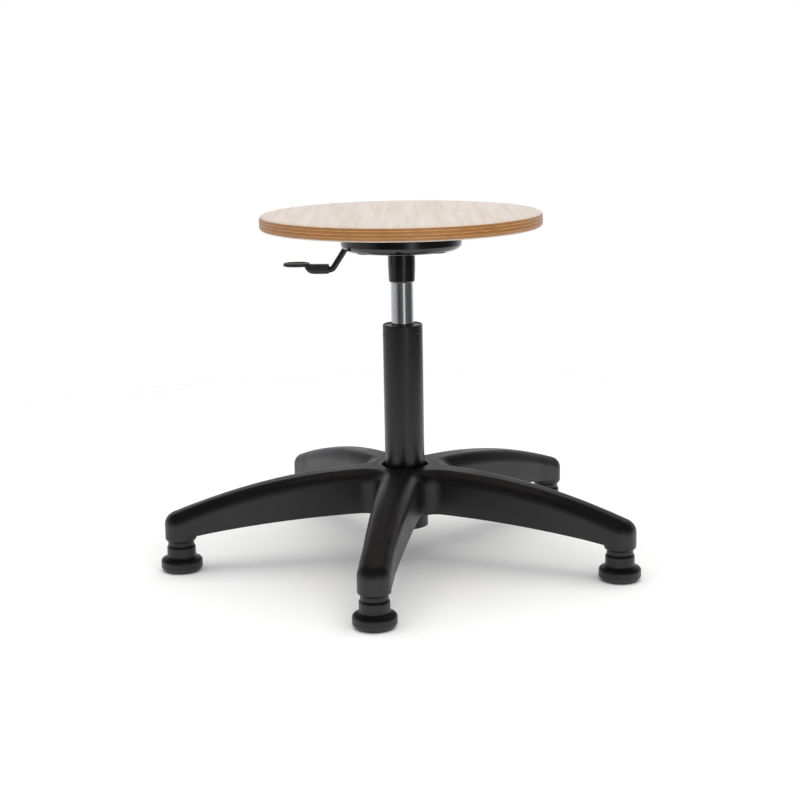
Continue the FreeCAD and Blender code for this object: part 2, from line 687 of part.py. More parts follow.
def make_piston():
    neck = "(rod_dia / 2 - 1.5 + fixed_gap)"
    outer = PISTON_R
    low = f"({PISTON_FOOT} + fixed_gap)"
    high = f"({PISTON_TOP} - fixed_gap)"
    groove_low = f"({PISTON_FOOT} + piston_height / 2 - 1.5)"
    groove_high = f"({PISTON_FOOT} + piston_height / 2 + 1.5)"
    return turned("piston", [
        (neck, low), (outer, low, "round", "0.8"), (outer, groove_low), (f"({outer} - 2)", groove_low),
        (f"({outer} - 2)", groove_high), (outer, groove_high), (outer, high, "round", "0.8"), (neck, high)])


# ---------------------------------------------------------------- gas spring body
def make_gas_cylinder():
    """Chromed cylinder: its upper end is tapered for the socket, and both ends are rolled in."""
    lip = "(button_dia / 2 + 1.5)"
    outer = "(cylinder_dia / 2)"
    roll_in = f"({CYLINDER_TOP} - cylinder_wall)"
    return turned("gas_cylinder", [
        ("rod_dia / 2 + 2", CYLINDER_FOOT), (outer, CYLINDER_FOOT, "round", "1"), (outer, SOCKET_FOOT),
        (CYLINDER_TOP_R, CYLINDER_TOP, "round", "1"), (lip, CYLINDER_TOP), (lip, roll_in),
        (f"({CYLINDER_TOP_R} - cylinder_wall)", roll_in), (CYLINDER_BORE, SOCKET_FOOT),
        (CYLINDER_BORE, GUIDE_FOOT), ("rod_dia / 2 + 2", GUIDE_FOOT)])


def make_valve_body():
    """Valve block that fills the cylinder's upper end and guides the button and its pin."""
    pin_bore = "(valve_pin_dia / 2 + running_gap)"
    skirt_bore = "(button_dia / 2 + running_gap)"
    top = f"({CYLINDER_TOP} - cylinder_wall - fixed_gap)"
    shelf = f"({CYLINDER_TOP} - button_skirt - 2 * stop_gap)"
    outer = f"({CYLINDER_BORE} - fixed_gap)"
    seal = f"({VALVE_FOOT} + valve_seal_above)"
    cone_top = f"({CYLINDER_TOP_R} - cylinder_wall - 2 * fixed_gap)"
    nose = f"({PRESSURE_BORE} - fixed_gap)"
    return turned("valve_body", [
        (pin_bore, VALVE_FOOT), (nose, VALVE_FOOT, "round", "1"), (nose, f"({VALVE_FOOT} + valve_nose)"),
        (outer, f"({VALVE_FOOT} + valve_nose)"), (outer, seal), (f"({outer} - seal_groove_depth)", seal),
        (f"({outer} - seal_groove_depth)", f"({seal} + seal_groove)"), (outer, f"({seal} + seal_groove)"),
        (outer, SOCKET_FOOT),
        (cone_top, top), (skirt_bore, top), (skirt_bore, shelf), (pin_bore, shelf)])


# ---------------------------------------------------------------- seat, pan and socket
def make_seat_disc():
    """Plywood disc with blind holes for the insert nuts in its underside."""
    body = new_body("seat_disc")
    spin(body, "Revolution", "disc", [
        ("0", SEAT_UNDER), ("seat_dia / 2", SEAT_UNDER, "round", "seat_edge_round"),
        ("seat_dia / 2", "seat_height", "round", "seat_edge_round"), ("0", "seat_height")])
    hole = spin(body, "Groove", "insert_hole", [
        ("0", f"{SEAT_UNDER} - 1"), ("insert_flange / 2 + fixed_gap", f"{SEAT_UNDER} - 1"),
        ("insert_flange / 2 + fixed_gap", f"{SEAT_UNDER} + insert_flange_thickness + fixed_gap"),
        ("insert_dia / 2 + fixed_gap", f"{SEAT_UNDER} + insert_flange_thickness + fixed_gap"),
        ("insert_dia / 2 + fixed_gap", f"{SEAT_UNDER} + screw_grip + 1"),
        ("0", f"{SEAT_UNDER} + screw_grip + 1")],
        (SCREW_X, "0", f"-{SCREW_Y}"))
    polar(body, "insert_holes", [hole], SCREWS)
    return body


def screw_group(label, kind_corners):
    """Four like turned pieces on the screw circle, in one node."""
    body = new_body(label, several=True)
    first = spin(body, "Revolution", "turning", kind_corners, (SCREW_X, "0", f"-{SCREW_Y}"))
    return body, first


def make_insert_nuts():
    bore = "(screw_dia / 2 + fixed_gap)"
    flange_top = f"({SEAT_UNDER} + insert_flange_thickness)"
    body, nut = screw_group("insert_nuts", [
        (bore, SEAT_UNDER), ("insert_flange / 2", SEAT_UNDER), ("insert_flange / 2", flange_top),
        ("insert_dia / 2", flange_top), ("insert_dia / 2", f"({SEAT_UNDER} + screw_grip)", "round", "0.8"),
        (bore, f"({SEAT_UNDER} + screw_grip)")])
    polar(body, "nuts", [nut], SCREWS)
    return body


def make_pan_screws():
    head_top = f"({WELL_SEAT} - washer_thickness)"
    head_foot = f"({head_top} - screw_head_height)"
    tip = f"({SEAT_UNDER} + screw_grip - 0.5)"
    body, screw = screw_group("pan_screws", [
        ("0", head_foot), ("screw_head / 2", head_foot, "round", "1.4"), ("screw_head / 2", head_top),
        ("screw_dia / 2", head_top), ("screw_dia / 2", f"({tip} - 0.8)"), ("screw_dia / 2 - 0.8", tip),
        ("0", tip)])
    corners = [(f"({SCREW_X} + screw_hex / sqrt(3) * cos({60 * side}))",
                f"({SCREW_Y} + screw_hex / sqrt(3) * sin({60 * side}))") for side in range(6)]
    key_plan = outline(new_sketch(body, "key_plan", "XY_Plane", ("0", "0", head_foot)), corners)
    key = feature(body, "Pocket", "key", Profile=key_plan, Length="(screw_head_height * 0.6)", Reversed=True)
    polar(body, "screws", [screw, key], SCREWS)
    return body


def make_pan_washers():
    hole = "(screw_dia / 2 + free_gap)"
    low = f"({WELL_SEAT} - washer_thickness)"
    body, washer = screw_group("pan_washers", [
        (hole, low), ("washer_dia / 2", low, "round", "0.3"), ("washer_dia / 2", WELL_SEAT),
        (hole, WELL_SEAT)])
    polar(body, "washers", [washer], SCREWS)
    return body


def make_mount_pan():
    """Pressed steel pan: four wells drawn up to the seat, a hole for the socket and the lever's slot."""
    body = new_body("mount_pan")
    outer = "(pan_dia / 2)"
    inner = "(pan_dia / 2 - pan_sheet)"
    socket = f"({SOCKET_R} + fixed_gap)"
    spin(body, "Revolution", "cup", [
        (socket, PAN_BOTTOM), (outer, PAN_BOTTOM, "round", "pan_corner"), (outer, SEAT_UNDER),
        (inner, SEAT_UNDER), (inner, PAN_FLOOR, "round", "(pan_corner - pan_sheet)"), (socket, PAN_FLOOR)])
    wells = []
    for kind, name, thickness, height in (("AdditiveCone", "well", "pan_sheet", "pan_depth"),
                                          ("SubtractiveCone", "well_hollow", "0", "(pan_depth - pan_sheet)")):
        well = feature(body, kind, name, Radius1=f"well_mouth / 2 + {thickness}",
                       Radius2=f"well_top / 2 + {thickness}", Height=height)
        well.setExpression("Placement.Base.x", bound(SCREW_X))
        well.setExpression("Placement.Base.y", bound(SCREW_Y))
        well.setExpression("Placement.Base.z", bound(PAN_BOTTOM))
        wells.append(well)
    hole_plan = circle(new_sketch(body, "screw_hole_plan", "XY_Plane"), SCREW_X, SCREW_Y,
                       "(screw_dia / 2 + free_gap)")
    wells.append(pocket_through(body, "screw_hole", hole_plan))
    polar(body, "wells", wells, SCREWS)
    slot_plan = rectangle(new_sketch(body, "slot_plan", "YZ_Plane", ("0", "0", "-pan_dia")),
                          "-pan_slot_width / 2", "pan_slot_width / 2",
                          f"({PAN_BOTTOM} - pan_slot_width)", f"({PAN_BOTTOM} + pan_slot_top)",
                          "round", "pan_slot_width * 0.45")
    feature(body, "Pocket", "slot", Profile=slot_plan, Length="(pan_dia / 2 + pan_slot_inset)", Reversed=True)
    return body


def make_socket_tube():
    """Socket with the cylinder's taper, welded through the pan."""
    bore_low = "(cylinder_dia / 2 + fixed_gap)"
    bore_high = f"({CYLINDER_TOP_R} + cone_slope * cylinder_proud + fixed_gap)"
    return turned("socket_tube", [
        (bore_low, SOCKET_FOOT), ("cylinder_dia / 2 + socket_foot_wall", SOCKET_FOOT, "round", "2"),
        (SOCKET_R, f"({SOCKET_FOOT} + socket_reach / 2)"), (SOCKET_R, SOCKET_TOP),
        (bore_high, SOCKET_TOP)])


# ---------------------------------------------------------------- release lever
YOKE_HALF = "(lever_rod_dia / 2 + fixed_gap + yoke_sheet)"
YOKE_OUTER_END = "(lever_reach_in * 2 + fixed_gap)"
ROD_END_X = "(lever_reach_in + pivot_dia)"
ROD_Z = f"({YOKE_UNDER} + yoke_sheet + lever_rod_dia / 2)"
EAR_HALF = f"({YOKE_HALF} + free_gap)"
PADDLE_Z = f"({PAN_BOTTOM} - paddle_drop)"
PADDLE_END = "(pan_dia / 2 + 14.5)"
PADDLE_TIP = f"({PADDLE_END} + paddle_length)"


def make_lever_bracket():
    """Folded bracket on the pan's floor whose two ears hold the pivot pin."""
    body = new_body("lever_bracket")
    outer = f"({EAR_HALF} + bracket_sheet)"
    top = f"({PIVOT_Z} + pivot_dia)"
    low = PAN_FLOOR
    end = ("0", "0", "(0.5 - lever_reach_in - pivot_dia)")
    section = outline(new_sketch(body, "section", "YZ_Plane", end), [
        (f"-{outer}", low), (outer, low), (outer, top), (EAR_HALF, top),
        (EAR_HALF, f"({low} + bracket_sheet)"), (f"-{EAR_HALF}", f"({low} + bracket_sheet)"),
        (f"-{EAR_HALF}", top), (f"-{outer}", top)])
    strip = pad(body, "strip", section, "(2 * pivot_dia - 1)")
    hole = circle(new_sketch(body, "pin_hole_plan", "XZ_Plane"), PIVOT_X, PIVOT_Z,
                  "(pivot_dia / 2 + fixed_gap)")
    holes = pocket_through(body, "pin_hole", hole)
    ear_top = value(top)

    def ear_corner(middle, edge):
        return abs(middle.z - ear_top) < 0.01 and abs(edge.tangentAt(edge.FirstParameter).y) > 0.99

    feature(body, "Fillet", "ear_corners", Base=(holes, edges_where(holes, ear_corner)),
            Radius="pivot_dia * 0.8")
    return body


def make_lever_yoke():
    """Channel that turns on the pivot pin: the rod is welded in it and its tongue presses the button."""
    body = new_body("lever_yoke")
    inner = f"({YOKE_HALF} - yoke_sheet)"
    top = f"({PIVOT_Z} + pivot_dia * 0.9)"
    section = outline(new_sketch(body, "section", "YZ_Plane", ("0", "0", f"-{YOKE_OUTER_END}")), [
        (f"-{YOKE_HALF}", YOKE_UNDER), (YOKE_HALF, YOKE_UNDER), (YOKE_HALF, top), (inner, top),
        (inner, f"({YOKE_UNDER} + yoke_sheet)"), (f"-{inner}", f"({YOKE_UNDER} + yoke_sheet)"),
        (f"-{inner}", top), (f"-{YOKE_HALF}", top)])
    pad(body, "channel", section, f"({YOKE_OUTER_END} - lever_reach_in + pivot_dia)")
    tongue_plan = rectangle(new_sketch(body, "tongue_plan", "XY_Plane", ("0", "0", YOKE_UNDER)),
                            "(-lever_reach_in)", "button_dia * 0.7", f"-{YOKE_HALF}", YOKE_HALF)
    pad(body, "tongue", tongue_plan, "yoke_sheet")
    hole = circle(new_sketch(body, "pin_hole_plan", "XZ_Plane"), PIVOT_X, PIVOT_Z,
                  "(pivot_dia / 2 + running_gap)")
    pocket_through(body, "pin_hole", hole)
    return body


def make_pivot_pin():
    """Headed pin through the bracket's ears and the yoke, grooved for its clip."""
    body = new_body("pivot_pin")
    reach = f"({EAR_HALF} + bracket_sheet)"
    clip = f"({reach} + fixed_gap + clip_thickness)"
    profile = outline(new_sketch(body, "profile", "XY_Plane"), [
        ("0", f"-({reach} + clip_thickness)"),
        ("pivot_dia * 0.8", f"-({reach} + clip_thickness)", "round", "0.5"),
        ("pivot_dia * 0.8", f"-{reach}"), ("pivot_dia / 2", f"-{reach}"),
        ("pivot_dia / 2", f"({reach} + fixed_gap)"), ("pivot_dia / 2 - 0.6", f"({reach} + fixed_gap)"),
        ("pivot_dia / 2 - 0.6", clip), ("pivot_dia / 2", clip), ("pivot_dia / 2", f"({clip} + 1)"),
        ("0", f"({clip} + 1)")])
    feature(body, "Revolution", "turning", Profile=profile, ReferenceAxis=(profile, ["V_Axis"]), Angle=360)
    body.setExpression("Placement.Base.x", bound(PIVOT_X))
    body.setExpression("Placement.Base.z", bound(PIVOT_Z))
    return body


def make_pin_clip():
    body = new_body("pin_clip")
    reach = f"({EAR_HALF} + bracket_sheet)"
    inner = "(pivot_dia / 2 - 0.6 + fixed_gap)"
    profile = outline(new_sketch(body, "profile", "XY_Plane"), [
        (inner, f"({reach} + 2 * fixed_gap)"), ("pivot_dia * 0.9", f"({reach} + 2 * fixed_gap)"),
        ("pivot_dia * 0.9", f"({reach} + clip_thickness)"), (inner, f"({reach} + clip_thickness)")])
    feature(body, "Revolution", "band", Profile=profile, ReferenceAxis=(profile, ["V_Axis"]), Angle=360)
    mouth = rectangle(new_sketch(body, "mouth_plan", "XZ_Plane"),
                      f"-{inner} * 0.8", f"{inner} * 0.8", "0", "pivot_dia")
    pocket_through(body, "mouth", mouth)
    body.setExpression("Placement.Base.x", bound(PIVOT_X))
    body.setExpression("Placement.Base.z", bound(PIVOT_Z))
    return body


def make_lever_rod():
    """Round rod: level inside the pan, down through the slot, and level again into the paddle."""
    body = new_body("lever_rod")
    drop_at = "(-pan_dia / 2 + 14.9)"
    level_at = "(-pan_dia / 2 - 10.7)"
    path = outline(new_sketch(body, "path", "XZ_Plane"), [
        (f"-{ROD_END_X}", ROD_Z), (drop_at, ROD_Z, "round", "lever_bend"),
        (level_at, PADDLE_Z, "round", "lever_bend"), (f"-({PADDLE_END} + paddle_grip)", PADDLE_Z)],
        closed=False)
    section = circle(new_sketch(body, "section", "YZ_Plane", ("0", "0", f"-{ROD_END_X}")),
                     "0", ROD_Z, "lever_rod_dia / 2")
    doc.recompute()
    edges = [f"Edge{number}" for number in range(1, len(path.Shape.Edges) + 1)]
    feature(body, "AdditivePipe", "bar", Profile=section, Spine=(path, edges))
    return body


def make_lever_paddle():
    """Moulded paddle: a dished oval blade for the fingers and a boss that grips the rod."""
    body = new_body("lever_paddle")
    top = f"({PADDLE_Z} + lever_rod_dia / 2 + paddle_blade + paddle_wall)"
    half = "(paddle_width / 2)"
    blade_in = f"({PADDLE_TIP} - paddle_width * 1.15)"
    blade_plan = rectangle(new_sketch(body, "blade_plan", "XY_Plane", ("0", "0", f"({top} - paddle_blade)")),
                           f"-{PADDLE_TIP}", f"-{blade_in}", f"-{half}", half,
                           "round", "(paddle_width * 0.47)")
    pad(body, "blade", blade_plan, "paddle_blade")
    boss_half = "(lever_rod_dia / 2 + 4)"
    boss_length = "(paddle_length * 0.5)"
    boss_low = f"({PADDLE_Z} - lever_rod_dia / 2 - paddle_wall)"
    boss_plan = rectangle(
        new_sketch(body, "boss_plan", "YZ_Plane", ("0", "0", f"-({PADDLE_END} + {boss_length})")),
        f"-{boss_half}", boss_half, boss_low, f"({top} - 1.5)", "round", "2.5")
    boss = pad(body, "boss", boss_plan, boss_length)
    low, end = value(boss_low), -value(f"({PADDLE_END} + {boss_length})")

    def boss_toe(middle, edge):
        return abs(middle.x - end) < 0.01 and abs(middle.z - low) < 0.01

    feature(body, "Fillet", "toe", Base=(boss, edges_where(boss, boss_toe)), Radius="2")
    dish_radius = "(paddle_width * 1.6)"
    dish = feature(body, "SubtractiveSphere", "dish", Radius=dish_radius)
    dish.setExpression("Placement.Base.x", bound(f"-({PADDLE_TIP} - paddle_width * 0.6)"))
    dish.setExpression("Placement.Base.z", bound(f"({top} - 1.6 + {dish_radius})"))
    bore = circle(new_sketch(body, "bore_plan", "YZ_Plane", ("0", "0", f"-{PADDLE_END}")),
                  "0", PADDLE_Z, "(lever_rod_dia / 2 + fixed_gap)")
    feature(body, "Pocket", "bore", Profile=bore, Length="(paddle_grip + fixed_gap)")
    return body


# ---------------------------------------------------------------- release button
def make_release_button():
    """Domed button in the cylinder's top, with its skirt in the valve block."""
    radius = "(button_dia / 2)"
    foot = f"({CYLINDER_TOP} - button_skirt)"
    shoulder = f"({BUTTON_TOP} - button_dome + sqrt(button_dome^2 - {radius}^2))"
    socket = "(valve_pin_dia / 2 + fixed_gap)"
    return turned("release_button", [
        (socket, foot), (radius, foot, "round", "0.5"), (radius, shoulder, "arc", "button_dome", 1),
        ("0", BUTTON_TOP), ("0", f"({foot} + button_skirt / 2)"), (socket, f"({foot} + button_skirt / 2)")])


def make_valve_pin():
    radius = "(valve_pin_dia / 2)"
    foot = f"({VALVE_FOOT} + button_proud)"
    top = f"({CYLINDER_TOP} - button_skirt / 2 - fixed_gap)"
    return turned("valve_pin", [
        ("0", foot), (radius, foot, "round", "0.5"), (radius, top), ("0", top)])


# ---------------------------------------------------------------- assembly
def make_nodes():
    spigot = "(spigot_dia / 2 + running_gap)"
    groove_low = f"({PISTON_FOOT} + piston_height / 2 - 1.5 + fixed_gap)"
    groove_high = f"({PISTON_FOOT} + piston_height / 2 + 1.5 - fixed_gap)"
    seal_low = f"({VALVE_FOOT} + valve_seal_above + fixed_gap)"
    seal_outer = f"({CYLINDER_BORE} - fixed_gap)"
    washer_low = f"({COLUMN_FOOT} - running_gap - washer_thickness)"
    rod_gap = "(rod_dia / 2 + running_gap)"
    nodes = [make_star_base(), make_stem_rings(), make_column_tube(), make_guide_bush()]
    for number in range(ARMS):
        nodes.append(make_glide(number))
        nodes.append(make_stem(number))
    nodes += [
        ring("lower_race", spigot, "race_dia / 2", LOWER_RACE, f"({LOWER_RACE} + race_thickness)"),
        make_ball_cage(),
        make_balls(),
        make_piston_rod(),
        make_rod_clip(),
        ring("rod_washer", spigot, "spigot_dia / 2 + 6", washer_low, f"({washer_low} + washer_thickness)"),
        ring("upper_race", spigot, "race_dia / 2", UPPER_RACE,
             f"({UPPER_RACE} + race_thickness - fixed_gap)"),
        ring("rubber_buffer", rod_gap, "buffer_dia / 2", f"({BUFFER_FOOT} + fixed_gap)", BUFFER_TOP, "2.5"),
        make_piston(),
        ring("piston_ring", f"({PISTON_R} - 2 + fixed_gap)", PISTON_R, groove_low, groove_high, "0.3"),
        make_gas_cylinder(),
        ring("pressure_tube", PRESSURE_BORE, PRESSURE_R,
             f"({SEAL_TOP} + fixed_gap)", f"({VALVE_FOOT} + valve_nose - fixed_gap)", "0.3"),
        ring("rod_guide", rod_gap, f"({CYLINDER_BORE} - fixed_gap)", f"({GUIDE_FOOT} + fixed_gap)",
             SEAL_FOOT),
        ring("rod_seal", rod_gap, f"({CYLINDER_BORE} - fixed_gap)", f"({SEAL_FOOT} + fixed_gap)", SEAL_TOP),
        make_valve_body(),
        ring("valve_seal", f"({seal_outer} - seal_groove_depth + fixed_gap)", seal_outer, seal_low,
             f"({seal_low} + seal_groove - 2 * fixed_gap)", "0.6"),
        make_seat_disc(),
        make_insert_nuts(),
        make_pan_screws(),
        make_pan_washers(),
        make_mount_pan(),
        make_socket_tube(),
        make_lever_bracket(),
        make_pivot_pin(),
        make_pin_clip(),
        make_lever_yoke(),
        make_lever_rod(),
        make_lever_paddle(),
        make_release_button(),
        make_valve_pin(),
    ]
    return nodes


def check(nodes):
    """Stops the build if any object failed or any sub-part has no valid solid."""
    failed = [item.Label for item in doc.Objects if {"Invalid", "Error"} & set(item.State)]
    failed += [node.Label for node in nodes
               if node.Shape.isNull() or not node.Shape.isValid() or not node.Shape.Solids]
    if failed:
        raise RuntimeError(f"failed: {', '.join(failed)}")


nodes = make_nodes()
doc.recompute()
check(nodes)
os.makedirs("parts", exist_ok=True)
for node in nodes:
    node.Shape.exportStep(f"parts/{node.Label}.step")
    print(f"{node.Label}: {len(node.Shape.Solids)} solid(s), {node.Shape.Volume / 1000:.2f} cm3")
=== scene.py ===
"""Looks of the swivel stool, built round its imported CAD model. Laid out as an add-on and run as a script."""

import math

import bmesh
import bpy
from bpy.props import FloatProperty, FloatVectorProperty, IntProperty, PointerProperty
from mathutils import Matrix, Vector


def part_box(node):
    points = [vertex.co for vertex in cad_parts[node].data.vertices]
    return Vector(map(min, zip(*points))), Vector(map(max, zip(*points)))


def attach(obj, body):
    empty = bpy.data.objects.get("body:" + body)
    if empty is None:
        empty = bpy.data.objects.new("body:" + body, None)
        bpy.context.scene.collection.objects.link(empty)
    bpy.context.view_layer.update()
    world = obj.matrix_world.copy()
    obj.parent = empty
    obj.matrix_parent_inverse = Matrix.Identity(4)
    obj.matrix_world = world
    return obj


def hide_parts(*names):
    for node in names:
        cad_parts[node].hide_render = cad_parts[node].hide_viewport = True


bl_info = {
    "name": "Swivel Stool",
    "version": (1, 0, 0),
    "blender": (4, 5, 0),
    "location": "3D View > Sidebar > Stool",
    "description": "Dresses the stool's CAD parts with their materials "
                   "and adds the paddle, weld bead and stage",
    "category": "Object",
}

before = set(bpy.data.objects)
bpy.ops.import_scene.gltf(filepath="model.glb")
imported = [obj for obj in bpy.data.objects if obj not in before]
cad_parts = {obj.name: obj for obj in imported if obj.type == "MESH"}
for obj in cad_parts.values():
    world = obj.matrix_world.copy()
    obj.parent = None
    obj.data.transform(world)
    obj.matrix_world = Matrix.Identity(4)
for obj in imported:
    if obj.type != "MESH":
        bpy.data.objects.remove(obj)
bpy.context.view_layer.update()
MM = 0.001


# ---------------------------------------------------------------- materials
def linear(code):
    """Linear RGBA of an sRGB hex colour."""
    channels = [int(code[i:i + 2], 16) / 255 for i in (1, 3, 5)]
    return (*(c / 12.92 if c <= 0.04045 else ((c + 0.055) / 1.055) ** 2.4 for c in channels), 1.0)


def add_node(material, kind, inputs, **settings):
    """Adds a node with its settings. Each input takes a value, or a socket to be linked from."""
    node = material.node_tree.nodes.new(kind)
    for name, setting in settings.items():
        setattr(node, name, setting)
    for name, content in inputs.items():
        if isinstance(content, bpy.types.NodeSocket):
            material.node_tree.links.new(content, node.inputs[name])
        else:
            node.inputs[name].default_value = content
    return node


def start_material(name, **inputs):
    """A new material, its Principled shader set to the given values, and its object coordinates."""
    material = bpy.data.materials.new(name)
    material.use_nodes = True
    shader = material.node_tree.nodes["Principled BSDF"]
    for socket, content in inputs.items():
        shader.inputs[socket.replace("_", " ")].default_value = content
    place = add_node(material, "ShaderNodeTexCoord", {}).outputs["Object"]
    return material, shader, place


def feed(material, socket, target):
    material.node_tree.links.new(socket, target)


def add_grain(material, shader, place, pitch, depth, strength=1.0, stretch=(1, 1, 1)):
    """Fine surface relief: noise of that pitch and depth in metres, stretched by the given factors."""
    mapping = add_node(material, "ShaderNodeMapping", {"Vector": place, "Scale": stretch})
    noise = add_node(material, "ShaderNodeTexNoise", {
        "Vector": mapping.outputs["Vector"], "Scale": 1 / pitch, "Detail": 3.0, "Roughness": 0.55})
    bump = add_node(material, "ShaderNodeBump", {
        "Height": noise.outputs["Fac"], "Distance": depth, "Strength": strength})
    feed(material, bump.outputs["Normal"], shader.inputs["Normal"])
    return noise


def add_mottle(material, shader, place, first, second, pitch, low, high, stretch=(1, 1, 1)):
    """Slow drift of colour between two tints and of roughness between two values."""
    mapping = add_node(material, "ShaderNodeMapping", {"Vector": place, "Scale": stretch})
    noise = add_node(material, "ShaderNodeTexNoise", {
        "Vector": mapping.outputs["Vector"], "Scale": 1 / pitch, "Detail": 4.0, "Roughness": 0.6})
    tint = add_node(material, "ShaderNodeMix", {
        0: noise.outputs["Fac"], 6: first, 7: second}, data_type="RGBA")
    gloss = add_node(material, "ShaderNodeMapRange", {
        "Value": noise.outputs["Fac"], "From Min": 0.3, "From Max": 0.7, "To Min": low, "To Max": high})
    feed(material, tint.outputs[2], shader.inputs["Base Color"])
    feed(material, gloss.outputs["Result"], shader.inputs["Roughness"])
    return noise


def moulded_nylon(looks):
    """Glass-filled nylon, moulded against spark-eroded steel: satin black with a fine even grain."""
    material, shader, place = start_material("moulded_nylon", IOR=1.53)
    add_mottle(material, shader, place, looks.nylon_colour, linear("#110F12"), 60 * MM, 0.36, 0.46)
    # the real grain is about 0.3 mm; drawn at 1.1 mm so that it still shows
    add_grain(material, shader, place, 1.1 * MM, 0.05 * MM, 0.6)
    return material


def moulded_polypropylene():
    """Polypropylene feet: satin black, a little waxy, scuffed where they rub on the floor."""
    material, shader, place = start_material("moulded_polypropylene", IOR=1.49)
    noise = add_mottle(material, shader, place, linear("#08080A"), linear("#101012"), 12 * MM, 0.34, 0.48)
    height = add_node(material, "ShaderNodeSeparateXYZ", {"Vector": place})
    low = add_node(material, "ShaderNodeMapRange", {
        "Value": height.outputs["Z"], "From Min": 0.5 * MM, "From Max": 7 * MM, "To Min": 1.0, "To Max": 0.0})
    rub = add_node(material, "ShaderNodeTexNoise", {
        "Vector": place, "Scale": 1 / (1.5 * MM), "Detail": 5.0, "Roughness": 0.7})
    scuffed = add_node(material, "ShaderNodeMath", {0: low.outputs["Result"], 1: rub.outputs["Fac"]},
                       operation="MULTIPLY")
    base = shader.inputs["Base Color"].links[0].from_socket
    worn = add_node(material, "ShaderNodeMix", {
        0: scuffed.outputs["Value"], 6: base, 7: linear("#4A4A4C")}, data_type="RGBA")
    feed(material, worn.outputs[2], shader.inputs["Base Color"])
    add_grain(material, shader, place, 0.9 * MM, 0.03 * MM, 0.5)
    return material


def powder_coat(looks):
    """Black polyester powder over steel tube: satin, with the slight orange peel of baked powder."""
    material, shader, place = start_material("powder_coat", IOR=1.5)
    add_mottle(material, shader, place, looks.coat_colour, linear("#09090A"), 40 * MM, 0.24, 0.32)
    # orange peel about 1.8 mm across and a few hundredths deep
    add_grain(material, shader, place, 1.8 * MM, 0.03 * MM, 0.5)
    return material


def gloss_enamel():
    """Stoved black enamel on pressed steel: mirror-like with long soft waves."""
    material, shader, place = start_material("gloss_enamel", IOR=1.52, Coat_Weight=0.4, Coat_Roughness=0.05)
    add_mottle(material, shader, place, linear("#050505"), linear("#0B0B0C"), 30 * MM, 0.10, 0.17)
    add_grain(material, shader, place, 5 * MM, 0.03 * MM, 0.5)
    return material


def chromed_steel():
    """Hard chrome on a ground tube: a clear mirror broken by faint rings left by centreless grinding."""
    material, shader, place = start_material("chromed_steel", Metallic=1.0)
    # grinding rings are about 0.1 mm apart; drawn at 0.5 mm
    add_mottle(material, shader, place, linear("#DADBDD"), linear("#E6E7E9"), 30 * MM, 0.06, 0.10,
               (1, 1, 60))
    add_grain(material, shader, place, 30 * MM, 0.01 * MM, 0.4, (1, 1, 60))
    return material


def zinc_plated_steel():
    """Bright zinc plate with passivate: pale grey with a faint cloudy blue and straw cast."""
    material, shader, place = start_material("zinc_plated_steel", Metallic=1.0)
    add_mottle(material, shader, place, linear("#A9B0B8"), linear("#BDB7A6"), 4 * MM, 0.26, 0.42)
    add_grain(material, shader, place, 0.7 * MM, 0.01 * MM, 0.4)
    return material


def cold_drawn_steel():
    """Cold-drawn bar and tube: grey, with fine draw lines along its length."""
    material, shader, place = start_material("cold_drawn_steel", Metallic=1.0)
    add_mottle(material, shader, place, linear("#8E9093"), linear("#A5A6A8"), 1.5 * MM, 0.24, 0.36,
               (1, 1, 0.03))
    add_grain(material, shader, place, 0.6 * MM, 0.01 * MM, 0.4, (1, 1, 0.03))
    return material


def ground_steel():
    """Ground bearing steel: bright, with close circular grinding marks."""
    material, shader, place = start_material("ground_steel", Metallic=1.0)
    add_mottle(material, shader, place, linear("#B4B6B9"), linear("#C4C5C7"), 6 * MM, 0.14, 0.24)
    add_grain(material, shader, place, 0.5 * MM, 0.006 * MM, 0.4)
    return material


def lapped_ball_steel():
    """Lapped chromium steel balls: a near-perfect mirror with a film of grease."""
    material, shader, place = start_material("lapped_ball_steel", Metallic=1.0, Coat_Weight=0.5,
                                             Coat_Roughness=0.12)
    add_mottle(material, shader, place, linear("#C9CACC"), linear("#D6D6D4"), 3 * MM, 0.04, 0.08)
    return material


def pressed_brass():
    """Pressed brass sheet: warm yellow, dulled by grease."""
    material, shader, place = start_material("pressed_brass", Metallic=1.0)
    add_mottle(material, shader, place, linear("#B0894A"), linear("#C9A35E"), 4 * MM, 0.28, 0.42)
    add_grain(material, shader, place, 0.6 * MM, 0.01 * MM, 0.4)
    return material


def phosphated_spring_steel():
    """Phosphated and oiled spring steel: near black with a soft metallic gleam."""
    material, shader, place = start_material("phosphated_spring_steel", Metallic=0.85)
    add_mottle(material, shader, place, linear("#2A2826"), linear("#3A3835"), 3 * MM, 0.38, 0.52)
    add_grain(material, shader, place, 0.5 * MM, 0.01 * MM, 0.5)
    return material


def nitrile_rubber():
    """Moulded nitrile rubber: matt black with a dusty bloom."""
    material, shader, place = start_material("nitrile_rubber", IOR=1.52)
    add_mottle(material, shader, place, linear("#0D0D0D"), linear("#1D1C1B"), 8 * MM, 0.62, 0.8)
    add_grain(material, shader, place, 0.8 * MM, 0.03 * MM, 0.6)
    return material


def acetal():
    """Moulded black acetal: smooth and slippery, with a dull shine."""
    material, shader, place = start_material("acetal", IOR=1.48)
    add_mottle(material, shader, place, linear("#17171A"), linear("#222225"), 20 * MM, 0.30, 0.40)
    add_grain(material, shader, place, 1.0 * MM, 0.01 * MM, 0.4)
    return material


def filled_ptfe():
    """Turned PTFE: chalky off-white with tool rings."""
    material, shader, place = start_material("filled_ptfe", IOR=1.36)
    add_mottle(material, shader, place, linear("#DAD6CA"), linear("#E8E5DC"), 5 * MM, 0.45, 0.6)
    add_grain(material, shader, place, 0.5 * MM, 0.02 * MM, 0.4, (0.2, 0.2, 1))
    return material


